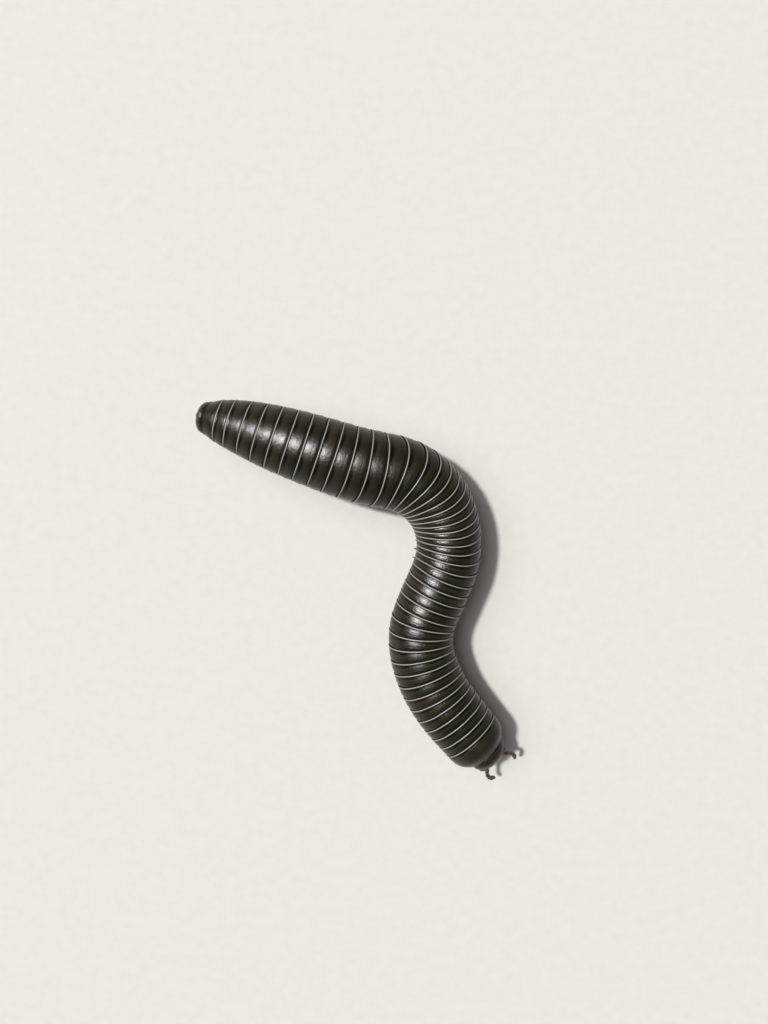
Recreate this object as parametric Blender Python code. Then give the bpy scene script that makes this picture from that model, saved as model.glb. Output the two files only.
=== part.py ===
"""Floridobolus orini, a stout black millipede of sandy ground, as a still life-size model.

It stands on its feet on a flat floor, in a long curve: the tapered tail runs straight, the middle
turns through a right angle and the front ends in the lowered head. Blender works in metres here,
and every driving dimension below is in millimetres or degrees. Stations are distances along the
body's axis, from the tip of the tail forward.
"""

import math

import bmesh
import bpy
from mathutils import Matrix, Vector

MM = 0.001
GAP = 0.3  # clear space between pieces that meet

# The body's axis seen from above: where it starts, its heading, then its stretches of curve
TAIL_TIP = (-23.98, 26.37)
TAIL_HEADING = -12.9
CURVES = (  # length, turn to the left over that length
    (10.0, -5.8),
    (12.0, 0.3),
    (8.0, 8.9),
    (4.0, -21.4),
    (8.0, -44.4),
    (8.0, -38.9),
    (6.0, 1.1),
    (6.0, 35.4),
    (9.0, 26.0),
    (14.0, 8.0),
)
CURVE_EASE = 2.0  # each stretch runs into the next over this much either way
AXIS_STEP = 0.05

# Half width of the body along its axis, and how the section departs from a circle
WIDEST = 5.6
FRONT_HALF_WIDTH = 4.8
NARROWING = (29.0, 46.0)  # stations over which the body slims from its widest to its front width
TAPER_LENGTH = 18.0
TAPER_POWER = 0.33
TAPER_ROUNDING = 14.0
NAPE_STATION = 71.0
NAPE_SLIMMING = 0.035  # of half width per millimetre past the nape station
HEIGHT_SHARE = 0.97
BELLY_FLATNESS = 0.93
BELLY_HEIGHT = 2.0
TAIL_LIFT = 1.3
TAIL_LIFT_LENGTH = 11.0

# Ring margins: the first is the tail ring's, the last is the collar's
FIRST_MARGIN = 1.65
TAIL_PITCH = 1.85
STRAIGHT_PITCH = 2.27
FRONT_PITCH = 1.57
PITCH_CHANGE = (29.0, 35.0)
BEND_STATION = 39.5
BEND_CLOSING = 0.45  # how far the rings slide into one another at the bend
BEND_SPREAD = 5.5
RING_COUNT = 43  # rings behind the collar, with the tail ring left out
RING_SIDES = 20
RING_WAIST = 0.985  # radius half way along a ring, against its hind margin
RING_NECK = 0.955  # radius where a ring slides under the one in front
NECK_SHARE = 0.12
RINGS_PER_LENGTH = 4
SINGLE_PAIR_RINGS = 3
LEGLESS_RINGS = 2

# Legs
PAIR_PLACES = (0.22, 0.68)  # along a ring that has two pairs, from its hind margin
SINGLE_PAIR_PLACE = 0.45
HIP_OFFSET = 0.55
HIP_SINK = 0.8  # how far the root reaches up into the ring
COXA_SPREAD = 0.25  # how far out the end of the first article lies from its root
COXA_DROP = 0.35
KNEE_SHARE = 0.55
KNEE_DROP = 0.25
REACH_BASE = 1.3
REACH_PER_WIDTH = 0.52
BEND_REACH = 0.9  # feet inside the bend stand this much further out, past the body's edge
REACH_WAVE = 0.3
SWING_WAVE = 0.7  # in leg spacings
PAIRS_PER_WAVE = 11
LEG_SIDES = 5
LEG_RADII = (0.31, 0.3, 0.27, 0.17)
TUCKED_REACH = 1.95
LEG_ROOM = 0.62  # floor spacing that a row of feet needs

# Head, in its own frame: forward, left, up from the floor
COLLAR_LENGTH = 3.4
COLLAR_PROFILE = ((0.0, 1.0), (1.2, 0.99), (2.1, 0.945), (2.8, 0.85), (COLLAR_LENGTH, 0.7))
COLLAR_SIDE_EDGE = (0.72, 0.2)  # how far down its sides the collar reaches, behind and in front
THROAT_DEPTH = 0.17  # the throat between the collar's sides lies this share of the radius deeper
THROAT_SLOPE = 0.25
HEAD_AHEAD = 0.55  # head centre in front of the collar's front edge
HEAD_HEIGHT = 5.25
HEAD_HALF_SIZES = (1.95, 3.0, 3.1)
HEAD_FACETS = (20, 14)  # segments round and rings up, here and below
CHEEK_CENTRE = (-0.25, 2.05, -0.95)
CHEEK_HALF_SIZES = (1.35, 1.05, 1.45)
CHEEK_FACETS = (12, 8)
LIP_CENTRE = (0.55, 0.0, -2.15)
LIP_HALF_SIZES = (0.95, 1.75, 1.2)
LIP_FACETS = (14, 8)
LIP_NOTCH_CENTRE = (1.3, 0.0, -3.5)
LIP_NOTCH_SIZES = (1.6, 0.5, 0.9)
CHIN_CENTRE = (-1.35, 0.0, -2.35)
CHIN_HALF_SIZES = (1.5, 1.35, 0.75)
CHIN_FACETS = (14, 8)
EYE_DIRECTION = (0.52, 0.78, 0.36)
EYE_HALF_SIZES = (0.3, 0.7, 0.52)
EYE_FACETS = (14, 8)
EYE_SINK = 0.1
SOCKET_DIRECTION = (0.8, 0.62, 0.0)
ANTENNA_POINTS = ((0.0, 0.0, 0.0), (0.45, 0.75, -0.15), (1.35, 1.15, -0.75), (2.1, 1.05, -1.6),
                  (2.55, 0.8, -2.35))
ANTENNA_RADII = (0.25, 0.31, 0.33, 0.34, 0.24)
ANTENNA_SIDES = 8
ANTENNA_ROOT = 0.4  # how deep the first article sits in its socket

# Tail end
VALVE_STATION = 1.4
VALVE_HALF_SIZES = (1.4, 2.25, 2.3)
VALVE_FACETS = (16, 12)
EPIPROCT_LENGTH = 0.75
HYPOPROCT_LENGTH = 0.35
OVERHANG_POWER = 4

# Finishes: base colour and roughness
FINISHES = {
    "cuticle_black": ((0.021, 0.018, 0.014), 0.33),
    "cuticle_brown": ((0.035, 0.022, 0.014), 0.36),
    "feeler_brown": ((0.03, 0.017, 0.011), 0.4),
    "eye_black": ((0.008, 0.008, 0.009), 0.15),
}
CREASE_ANGLE = 35.0


def smooth_step(low, high, value):
    """0 below low, 1 above high, and an even rise between them."""
    share = min(1.0, max(0.0, (value - low) / (high - low)))
    return share * share * (3 - 2 * share)


def eased_edge(distance):
    """A step that rises from 0 to 1 over CURVE_EASE either side of nought."""
    share = max(-1.0, min(1.0, distance / CURVE_EASE))
    return 0.5 + share / 2 + math.sin(math.pi * share) / (2 * math.pi)


def curvature(station):
    """Turn to the left in radians for each millimetre of the axis."""
    found = 0.0
    start = 0.0
    for index, (length, turn) in enumerate(CURVES):
        end = start + length
        rise = 1.0 if index == 0 else eased_edge(station - start)
        fall = 0.0 if index == len(CURVES) - 1 else eased_edge(station - end)
        found += math.radians(turn) / length * (rise - fall)
        start = end
    return found


def walk_axis():
    """Axis points and headings every AXIS_STEP, from the tip of the tail."""
    total = sum(length for length, _ in CURVES)
    heading = math.radians(TAIL_HEADING)
    place = Vector((TAIL_TIP[0], TAIL_TIP[1], 0.0))
    walked = [(place.copy(), heading)]
    for step in range(int(total / AXIS_STEP)):
        bend = curvature((step + 0.5) * AXIS_STEP) * AXIS_STEP
        middle = heading + bend / 2
        place += Vector((math.cos(middle), math.sin(middle), 0.0)) * AXIS_STEP
        heading += bend
        walked.append((place.copy(), heading))
    return walked


AXIS = walk_axis()


def axis_at(station):
    """Point, forward direction and left direction of the axis at a station."""
    position = max(0.0, station / AXIS_STEP)
    index = min(int(position), len(AXIS) - 2)
    share = position - index
    point = AXIS[index][0].lerp(AXIS[index + 1][0], share)
    heading = AXIS[index][1] + (AXIS[index + 1][1] - AXIS[index][1]) * share
    forward = Vector((math.cos(heading), math.sin(heading), 0.0))
    left = Vector((-math.sin(heading), math.cos(heading), 0.0))
    return point, forward, left


def half_width(station):
    taper = (max(station, 0.05) / TAPER_LENGTH) ** TAPER_POWER
    taper = (taper ** -TAPER_ROUNDING + 1) ** (-1 / TAPER_ROUNDING)
    slim = (WIDEST - FRONT_HALF_WIDTH) * smooth_step(*NARROWING, station)
    nape = NAPE_SLIMMING * max(0.0, station - NAPE_STATION)
    return WIDEST * taper - slim - nape


def belly_height(station):
    lift = max(0.0, 1 - station / TAIL_LIFT_LENGTH)
    return BELLY_HEIGHT + TAIL_LIFT * lift * lift


def axis_height(station):
    return belly_height(station) + half_width(station) * HEIGHT_SHARE * BELLY_FLATNESS


def ring_pitch(station):
    if station < FIRST_MARGIN + 2 * TAIL_PITCH:
        return TAIL_PITCH
    spread = (STRAIGHT_PITCH - FRONT_PITCH) * smooth_step(*PITCH_CHANGE, station)
    closing = BEND_CLOSING * math.exp(-(((station - BEND_STATION) / BEND_SPREAD) ** 2))
    return STRAIGHT_PITCH - spread - closing


def ring_margins():
    """Stations of the hind margins, from the tail ring's to the collar's."""
    margins = [FIRST_MARGIN]
    for _ in range(RING_COUNT + 1):
        first_guess = ring_pitch(margins[-1])
        margins.append(margins[-1] + ring_pitch(margins[-1] + first_guess / 2))
    return margins


MARGINS = ring_margins()
FINISHED = {}


def ring_section(station, share=1.0, plane=None, reach=None, fit=None):
    """Points round the body at a station, at a share of its radius, as seen from the front.

    plane is the station whose cross plane the points lie in, when it isn't their own. reach moves
    each point along the axis, and fit changes its share of the radius, as functions of its angle.
    """
    base, forward, left = axis_at(station if plane is None else plane)
    if plane is not None:
        base = base + forward * (station - plane)
    points = []
    for index in range(RING_SIDES):
        angle = 2 * math.pi * index / RING_SIDES
        width = half_width(station) * share * (fit(angle) if fit else 1.0)
        rise = math.sin(angle) * width * HEIGHT_SHARE
        rise *= BELLY_FLATNESS if rise < 0 else 1.0
        along = reach(angle) if reach else 0.0
        point = base + left * math.cos(angle) * width + forward * along
        point.z = axis_height(station) + rise
        points.append(point)
    return points


def new_object(name, mesh_maker):
    """A new object whose mesh is in metres, made from a bmesh in millimetres."""
    shape = bmesh.new()
    mesh_maker(shape)
    bmesh.ops.scale(shape, vec=(MM, MM, MM), verts=shape.verts)
    bmesh.ops.recalc_face_normals(shape, faces=shape.faces)
    mesh = bpy.data.meshes.new(name)
    shape.to_mesh(mesh)
    shape.free()
    obj = bpy.data.objects.new(name, mesh)
    bpy.context.scene.collection.objects.link(obj)
    return obj


def loft(name, sections):
    """A closed body through sections of equal length, from one end to the other."""

    def build(shape):
        loops = []
        for section in sections:
            loops.append([shape.verts.new(point) for point in section])
        for near, far in zip(loops, loops[1:]):
            for index in range(len(near)):
                after = (index + 1) % len(near)
                shape.faces.new((near[index], near[after], far[after], far[index]))
        shape.faces.new(loops[0][::-1])
        shape.faces.new(loops[-1])

    return new_object(name, build)


def ball(name, frame, centre, half_sizes, facets, grow=0.0):
    """An ellipsoid with its poles on the up axis, placed in a frame."""

    def build(shape):
        bmesh.ops.create_uvsphere(shape, u_segments=facets[0], v_segments=facets[1], radius=1.0)
        bmesh.ops.scale(shape, vec=[half + grow for half in half_sizes], verts=shape.verts)
        bmesh.ops.transform(shape, matrix=frame @ Matrix.Translation(centre), verts=shape.verts)

    return new_object(name, build)


def block(name, frame, centre, sizes):
    def build(shape):
        bmesh.ops.create_cube(shape, size=1.0)
        bmesh.ops.scale(shape, vec=sizes, verts=shape.verts)
        bmesh.ops.transform(shape, matrix=frame @ Matrix.Translation(centre), verts=shape.verts)

    return new_object(name, build)


def round_section(centre, direction, side, radius, sides):
    """Points of a regular polygon round centre, square to direction."""
    side = (side - direction * side.dot(direction)).normalized()
    other = direction.cross(side)
    points = []
    for index in range(sides):
        angle = 2 * math.pi * index / sides
        points.append(centre + (side * math.cos(angle) + other * math.sin(angle)) * radius)
    return points


def tube(name, points, radii, side, sides, flat_end=False):
    """A tapered tube through points. A flat end lies level, as a foot does on the floor."""
    sections = []
    for index, point in enumerate(points):
        before = points[max(index - 1, 0)]
        after = points[min(index + 1, len(points) - 1)]
        direction = (after - before).normalized()
        if flat_end and index == len(points) - 1:
            direction = Vector((0, 0, -1))
        sections.append(round_section(point, direction, side, radii[index], sides))
    return loft(name, sections)


def boolean(obj, tools, operation):
    """Joins the tools to an object or cuts them from it, and removes them."""
    group = bpy.data.collections.new("tools")
    for tool in tools:
        bpy.context.scene.collection.objects.unlink(tool)
        group.objects.link(tool)
    bpy.context.scene.collection.children.link(group)
    modifier = obj.modifiers.new(operation.title(), "BOOLEAN")
    modifier.operation = operation
    modifier.operand_type = "COLLECTION"
    modifier.collection = group
    modifier.solver = "EXACT"
    bpy.context.view_layer.update()
    result = bpy.data.meshes.new_from_object(
        obj.evaluated_get(bpy.context.evaluated_depsgraph_get())
    )
    obj.modifiers.clear()
    old_mesh = obj.data
    obj.data = result
    bpy.data.meshes.remove(old_mesh)
    result.name = obj.name
    for tool in tools:
        bpy.data.objects.remove(tool)
    bpy.data.collections.remove(group)
    keep_largest_surface(obj)


def keep_largest_surface(obj):
    shape = bmesh.new()
    shape.from_mesh(obj.data)
    left_over = set(shape.verts)
    islands = []
    while left_over:
        front = [left_over.pop()]
        island = set(front)
        while front:
            vert = front.pop()
            for edge in vert.link_edges:
                other = edge.other_vert(vert)
                if other in left_over:
                    left_over.remove(other)
                    island.add(other)
                    front.append(other)
        islands.append(island)
    islands.sort(key=surface_spread)
    for island in islands[:-1]:
        bmesh.ops.delete(shape, geom=list(island), context="VERTS")
    shape.to_mesh(obj.data)
    shape.free()


def surface_spread(island):
    """Diagonal of a surface's box."""
    sizes = []
    for axis in range(3):
        values = [vert.co[axis] for vert in island]
        sizes.append(max(values) - min(values))
    return Vector(sizes).length


def make_materials():
    for name, (color, roughness) in FINISHES.items():
        material = bpy.data.materials.new(name)
        material.use_nodes = True
        shader = material.node_tree.nodes["Principled BSDF"]
        shader.inputs["Base Color"].default_value = (*color, 1.0)
        shader.inputs["Roughness"].default_value = roughness
        shader.inputs["Metallic"].default_value = 0.0
        FINISHED[name] = material


def finish(obj, name):
    """Gives a node its material and smooth shading with crisp ring margins."""
    obj.data.materials.clear()
    obj.data.materials.append(FINISHED[name])
    obj.data.shade_smooth()
    obj.data.set_sharp_from_angle(angle=math.radians(CREASE_ANGLE))


def ring_sections(first, last):
    """Sections of the rings between two margins, from the hind margin forward."""
    sections = []
    for index in range(first, last):
        hind = MARGINS[index]
        front = MARGINS[index + 1]
        pitch = front - hind
        sections.append(ring_section(hind))
        sections.append(ring_section(hind + pitch / 2, RING_WAIST))
        if index < last - 1:
            sections.append(ring_section(front - pitch * NECK_SHARE, RING_NECK))
        else:
            sections.append(ring_section(front - GAP, RING_NECK, plane=front))
    return sections


def leg_pairs():
    """Station, ring margin number and leg spacing of each pair, from the tail forward."""
    pairs = []
    for index in range(1 + LEGLESS_RINGS, 1 + RING_COUNT):
        hind = MARGINS[index]
        pitch = MARGINS[index + 1] - hind
        single = index > RING_COUNT - SINGLE_PAIR_RINGS
        places = (SINGLE_PAIR_PLACE,) if single else PAIR_PLACES
        for place in places:
            pairs.append((hind + pitch * place, index, pitch / len(places)))
    return pairs


LEG_PAIRS = leg_pairs()


def leg_reach(number, station, spacing, side):
    """How far out a foot stands: less where feet crowd on the inside of the bend."""
    wave = math.cos(2 * math.pi * number / PAIRS_PER_WAVE)
    reach = REACH_BASE + REACH_PER_WIDTH * half_width(station) + REACH_WAVE * wave
    inward = curvature(station) * side
    if inward <= 0:
        return reach
    if spacing * (1 - reach * inward) > LEG_ROOM:
        return reach
    if number % 2:
        return TUCKED_REACH
    return min(reach + BEND_REACH, (1 - LEG_ROOM / (2 * spacing)) / inward)


def leg_swing(number, spacing):
    return SWING_WAVE * spacing * math.sin(2 * math.pi * number / PAIRS_PER_WAVE)


def leg(number, side):
    """One leg from its root inside the ring to its foot on the floor. side is 1 left, -1 right."""
    station, _, spacing = LEG_PAIRS[number]
    reach = leg_reach(number, station, spacing, side)
    swing = leg_swing(number, spacing)
    base, forward, left = axis_at(station)
    belly = belly_height(station)
    knee_out = HIP_OFFSET + (reach - HIP_OFFSET) * KNEE_SHARE
    outline = (
        (HIP_OFFSET, belly + HIP_SINK),
        (HIP_OFFSET + COXA_SPREAD, belly - COXA_DROP),
        (knee_out, belly - KNEE_DROP),
        (reach, 0.0),
    )
    points = []
    for out, height in outline:
        turn = swing * max(0.0, out - HIP_OFFSET) / (reach - HIP_OFFSET)
        point = base + left * out * side + forward * turn
        point.z = height
        points.append(point)
    name = f"leg_{number}_{side}"
    return tube(name, points, LEG_RADII, forward, LEG_SIDES, flat_end=True)


def trunk_length(number, first, last):
    """One length of the trunk: its rings in one body, with their legs grown on."""
    core = loft(f"trunk_{number:02d}", ring_sections(first, last))
    legs = []
    for index, (_, ring, _) in enumerate(LEG_PAIRS):
        if first <= ring < last:
            legs.append(leg(index, 1))
            legs.append(leg(index, -1))
    if legs:
        boolean(core, legs, "UNION")
    finish(core, "cuticle_black")


def build_trunk():
    """The trunk from the collar back. The foremost length has the rings with one pair of legs."""
    last = RING_COUNT + 1
    first = last - SINGLE_PAIR_RINGS
    number = 1
    while last > 1:
        trunk_length(number, first, last)
        last = first
        first = max(1, first - RINGS_PER_LENGTH)
        number += 1


def head_frame():
    station = MARGINS[-1] + COLLAR_LENGTH + HEAD_AHEAD
    base, forward, left = axis_at(station)
    frame = Matrix.Identity(4)
    frame.col[0][:3] = forward
    frame.col[1][:3] = left
    frame.col[3][:3] = (base.x, base.y, HEAD_HEIGHT)
    return frame


def tail_frame():
    base, forward, left = axis_at(VALVE_STATION)
    frame = Matrix.Identity(4)
    frame.col[0][:3] = forward
    frame.col[1][:3] = left
    frame.col[3][:3] = (base.x, base.y, axis_height(FIRST_MARGIN))
    return frame


def mirrored(point, side):
    return (point[0], point[1] * side, point[2])


def surface_point(direction):
    """The point of the head's ellipsoid that lies in a direction from its centre."""
    ray = Vector(direction).normalized()
    squares = sum((ray[axis] / HEAD_HALF_SIZES[axis]) ** 2 for axis in range(3))
    return ray / math.sqrt(squares)


def side_name(side):
    return "left" if side > 0 else "right"


def eye_shape(name, frame, side, grow=0.0):
    """An eye patch: a low dome that lies on the curve of the head."""
    place = surface_point(mirrored(EYE_DIRECTION, side))
    normal = Vector([place[axis] / HEAD_HALF_SIZES[axis] ** 2 for axis in range(3)])
    turn = normal.to_track_quat("X", "Z").to_matrix().to_4x4()
    local = frame @ Matrix.Translation(place - normal.normalized() * EYE_SINK) @ turn
    return ball(name, local, (0, 0, 0), EYE_HALF_SIZES, EYE_FACETS, grow)


def antenna_shape(name, frame, side, grow=0.0, count=None):
    """A feeler from its socket forward, outward and down."""
    root = surface_point(mirrored(SOCKET_DIRECTION, side))
    points = []
    for step in ANTENNA_POINTS[:count]:
        points.append(frame @ (root + Vector(mirrored(step, side))))
    inward = (points[0] - points[1]).normalized()
    points.insert(0, points[0] + inward * (ANTENNA_ROOT + grow))
    radii = [radius + grow for radius in (ANTENNA_RADII[0], *ANTENNA_RADII[:count])]
    return tube(name, points, radii, Vector((0, 0, 1)), ANTENNA_SIDES)


def cheek_shape(name, frame, side, grow=0.0):
    centre = mirrored(CHEEK_CENTRE, side)
    return ball(name, frame, centre, CHEEK_HALF_SIZES, CHEEK_FACETS, grow)


def chin_shape(name, frame, grow=0.0):
    return ball(name, frame, CHIN_CENTRE, CHIN_HALF_SIZES, CHIN_FACETS, grow)


def build_head():
    """The head capsule with its upper lip, and the pieces that sit in it."""
    frame = head_frame()
    head = ball("head", frame, (0, 0, 0), HEAD_HALF_SIZES, HEAD_FACETS)
    lip = ball("lip", frame, LIP_CENTRE, LIP_HALF_SIZES, LIP_FACETS)
    boolean(head, [lip], "UNION")
    cutters = [chin_shape("chin_cutter", frame, GAP)]
    for side in (1, -1):
        cutters.append(cheek_shape(f"cheek_cutter_{side}", frame, side, GAP))
        cutters.append(eye_shape(f"eye_cutter_{side}", frame, side, GAP))
        cutters.append(antenna_shape(f"socket_cutter_{side}", frame, side, GAP, 2))
    cutters.append(block("notch_cutter", frame, LIP_NOTCH_CENTRE, LIP_NOTCH_SIZES))
    for cutter in cutters:
        boolean(head, [cutter], "DIFFERENCE")
    finish(head, "cuticle_black")
    for side in (1, -1):
        eye = eye_shape(f"eye_{side_name(side)}", frame, side)
        finish(eye, "eye_black")
        antenna = antenna_shape(f"antenna_{side_name(side)}", frame, side)
        finish(antenna, "feeler_brown")
        cheek = cheek_shape(f"mandible_{side_name(side)}", frame, side)
        boolean(cheek, [chin_shape("chin_cutter", frame, GAP)], "DIFFERENCE")
        finish(cheek, "cuticle_brown")
    chin = chin_shape("mouth_plate", frame)
    finish(chin, "cuticle_brown")


def throat_at(progress):
    """The collar's share of the radius by angle: full over its saddle and less at the throat."""
    behind, before = COLLAR_SIDE_EDGE
    edge = behind + (before - behind) * progress

    def fit(angle):
        return 1.0 - THROAT_DEPTH * smooth_step(edge, edge + THROAT_SLOPE, -math.sin(angle))

    return fit


def build_collar():
    """The collum: a wide saddle behind the head, closed below by the throat."""
    hind = MARGINS[-1]
    sections = []
    for along, share in COLLAR_PROFILE:
        sections.append(ring_section(hind + along, share, fit=throat_at(along / COLLAR_LENGTH)))
    collar = loft("collum", sections)
    frame = head_frame()
    cutters = [ball("head_cutter", frame, (0, 0, 0), HEAD_HALF_SIZES, HEAD_FACETS, GAP)]
    cutters.append(chin_shape("chin_cutter", frame, GAP))
    for side in (1, -1):
        cutters.append(cheek_shape(f"cheek_cutter_{side}", frame, side, GAP))
    for cutter in cutters:
        boolean(collar, [cutter], "DIFFERENCE")
    finish(collar, "cuticle_black")


def build_tail():
    """The tail ring, and the two valves that close it with an upright slit between them."""

    def overhang(angle):
        rise = math.sin(angle)
        if rise > 0:
            return -EPIPROCT_LENGTH * rise ** OVERHANG_POWER
        return -HYPOPROCT_LENGTH * rise ** OVERHANG_POWER

    front = MARGINS[1]
    sections = (
        ring_section(FIRST_MARGIN, 1.0, reach=overhang),
        ring_section((FIRST_MARGIN + front) / 2, RING_WAIST),
        ring_section(front - GAP, RING_NECK, plane=front),
    )
    frame = tail_frame()
    tail = loft("preanal_ring", sections)
    cutter = ball("valve_cutter", frame, (0, 0, 0), VALVE_HALF_SIZES, VALVE_FACETS, GAP)
    boolean(tail, [cutter], "DIFFERENCE")
    finish(tail, "cuticle_brown")
    for side in (1, -1):
        name = f"anal_valve_{side_name(side)}"
        valve = ball(name, frame, (0, 0, 0), VALVE_HALF_SIZES, VALVE_FACETS)
        reach = 2 * WIDEST
        other_half = block("half_cutter", frame, (0, -side * (reach - GAP) / 2, 0), (reach,) * 3)
        boolean(valve, [other_half], "DIFFERENCE")
        finish(valve, "cuticle_brown")


def main():
    for obj in list(bpy.data.objects):
        bpy.data.objects.remove(obj)
    make_materials()
    build_trunk()
    build_collar()
    build_head()
    build_tail()


main()
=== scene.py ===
# %% [markdown]
# # A stout black millipede, still and life-size
#
# The animal is a stack of horny rings on many short legs, with a rounded head tucked under a
# shield and a tail closed by two valves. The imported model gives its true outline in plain
# solids. This lesson lays a finer shell over them, piece by piece, and then finishes, lights
# and frames it as a museum photograph would.

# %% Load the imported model
import math
import random

import bpy
import numpy as np
from mathutils import Matrix, Vector


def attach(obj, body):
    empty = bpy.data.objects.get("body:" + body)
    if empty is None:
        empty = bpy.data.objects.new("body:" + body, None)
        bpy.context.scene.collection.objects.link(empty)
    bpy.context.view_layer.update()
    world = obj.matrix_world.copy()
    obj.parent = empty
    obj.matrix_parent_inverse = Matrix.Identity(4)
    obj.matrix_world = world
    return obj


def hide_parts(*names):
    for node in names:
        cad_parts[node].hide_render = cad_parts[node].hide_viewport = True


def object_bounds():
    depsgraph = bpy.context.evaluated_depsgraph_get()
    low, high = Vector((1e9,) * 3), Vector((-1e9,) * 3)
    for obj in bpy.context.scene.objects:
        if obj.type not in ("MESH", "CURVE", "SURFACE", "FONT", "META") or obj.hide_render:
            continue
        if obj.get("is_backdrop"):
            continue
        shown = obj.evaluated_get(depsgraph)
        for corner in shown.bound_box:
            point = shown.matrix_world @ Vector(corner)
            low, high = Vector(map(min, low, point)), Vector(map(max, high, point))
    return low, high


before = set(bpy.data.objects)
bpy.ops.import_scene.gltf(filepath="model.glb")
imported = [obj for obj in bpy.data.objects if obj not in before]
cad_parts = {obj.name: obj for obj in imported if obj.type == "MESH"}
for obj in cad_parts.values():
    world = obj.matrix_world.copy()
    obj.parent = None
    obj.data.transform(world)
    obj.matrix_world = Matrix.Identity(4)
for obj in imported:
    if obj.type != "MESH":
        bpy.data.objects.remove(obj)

CAD_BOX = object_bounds()
MM = 0.001
UP = Vector((0, 0, 1))
SIDES = ((1, "left"), (-1, "right"))
print("loaded", len(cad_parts), "nodes")
print("box in mm:", [[round(v / MM, 1) for v in corner] for corner in CAD_BOX])

# %% [markdown]
# ## The line of the body
#
# Everything on a millipede is placed along one line, from the tip of the tail to the head. It
# could be a curve object, but the solids follow a line worked out from a few stretches, each
# with a length and a turn. The same rule is written out here, so that each ring falls exactly
# where its solid is. Stations are millimetres along that line.

# %% The axis, walked from the tail
TAIL_TIP = (-23.98, 26.37)
TAIL_HEADING = -12.9
CURVES = (  # length, turn to the left over that length
    (10.0, -5.8), (12.0, 0.3), (8.0, 8.9), (4.0, -21.4), (8.0, -44.4),
    (8.0, -38.9), (6.0, 1.1), (6.0, 35.4), (9.0, 26.0), (14.0, 8.0),
)
CURVE_EASE = 2.0  # each stretch runs into the next over this much either way
AXIS_STEP = 0.05


def eased_edge(distance):
    """A step from 0 to 1 over CURVE_EASE either side of nought."""
    share = np.clip(distance / CURVE_EASE, -1.0, 1.0)
    return 0.5 + share / 2 + np.sin(math.pi * share) / (2 * math.pi)


def curvature(station):
    """Turn to the left in radians for each millimetre of the axis."""
    found = np.zeros_like(station)
    start = 0.0
    for index, (length, turn) in enumerate(CURVES):
        end = start + length
        rise = 1.0 if index == 0 else eased_edge(station - start)
        fall = 0.0 if index == len(CURVES) - 1 else eased_edge(station - end)
        found = found + math.radians(turn) / length * (rise - fall)
        start = end
    return found


TOTAL_LENGTH = sum(length for length, _ in CURVES)
STEPS = np.arange(int(TOTAL_LENGTH / AXIS_STEP))
BENDS = curvature((STEPS + 0.5) * AXIS_STEP) * AXIS_STEP
HEADINGS = math.radians(TAIL_HEADING) + np.concatenate(([0.0], np.cumsum(BENDS)))
MIDDLES = HEADINGS[:-1] + BENDS / 2
AXIS_X = TAIL_TIP[0] + np.concatenate(([0.0], np.cumsum(np.cos(MIDDLES) * AXIS_STEP)))
AXIS_Y = TAIL_TIP[1] + np.concatenate(([0.0], np.cumsum(np.sin(MIDDLES) * AXIS_STEP)))
AXIS_STATIONS = np.arange(len(HEADINGS)) * AXIS_STEP


def axis_at(station):
    """Floor point, forward direction and left direction of the axis, for one or many stations."""
    x = np.interp(station, AXIS_STATIONS, AXIS_X)
    y = np.interp(station, AXIS_STATIONS, AXIS_Y)
    heading = np.interp(station, AXIS_STATIONS, HEADINGS)
    zero = np.zeros_like(x)
    base = np.stack((x, y, zero), axis=-1)
    forward = np.stack((np.cos(heading), np.sin(heading), zero), axis=-1)
    left = np.stack((-np.sin(heading), np.cos(heading), zero), axis=-1)
    return base, forward, left


print("axis", round(TOTAL_LENGTH), "mm, ends at", axis_at(TOTAL_LENGTH)[0].round(1))

# %% [markdown]
# ## The girth of the body
#
# Across, the body is nearly round: a little lower than wide, and flatter underneath. It swells
# fast from the tail, stays even, and slims slightly towards the neck. A few functions give the
# half width and height anywhere, so that every shell piece can ask for a point on the surface.

# %% Half width, height and points of the surface
WIDEST = 5.6
FRONT_HALF_WIDTH = 4.8
NARROWING = (29.0, 46.0)  # stations over which the body slims to its front width
TAIL_TIP_STATION = 0.05
TAPER_LENGTH = 18.0
TAPER_POWER = 0.33
TAPER_ROUNDING = 14.0
NAPE_STATION = 71.0
NAPE_SLIMMING = 0.035  # of half width for each millimetre past the nape station
HEIGHT_SHARE = 0.97
BELLY_FLATNESS = 0.93
BELLY_HEIGHT = 2.0
TAIL_LIFT = 1.3
TAIL_LIFT_LENGTH = 11.0


def smooth_step(low, high, value):
    """Rises smoothly from 0 at low to 1 at high, or falls if high is the lower one."""
    share = np.clip((value - low) / (high - low), 0.0, 1.0)
    return share * share * (3 - 2 * share)


def half_width(station):
    """Half the body's width in mm, blunt at the tail and slim at the nape."""
    taper = (np.maximum(station, TAIL_TIP_STATION) / TAPER_LENGTH) ** TAPER_POWER
    taper = (taper ** -TAPER_ROUNDING + 1) ** (-1 / TAPER_ROUNDING)
    slim = (WIDEST - FRONT_HALF_WIDTH) * smooth_step(*NARROWING, station)
    nape = NAPE_SLIMMING * np.maximum(0.0, station - NAPE_STATION)
    return WIDEST * taper - slim - nape


def belly_height(station):
    """How far the belly clears the floor, in mm. The tail's tip rises a little."""
    lift = np.maximum(0.0, 1 - station / TAIL_LIFT_LENGTH)
    return BELLY_HEIGHT + TAIL_LIFT * lift * lift


def axis_height(station):
    """Height of the middle of the body over the floor, in mm."""
    return belly_height(station) + half_width(station) * HEIGHT_SHARE * BELLY_FLATNESS


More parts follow.
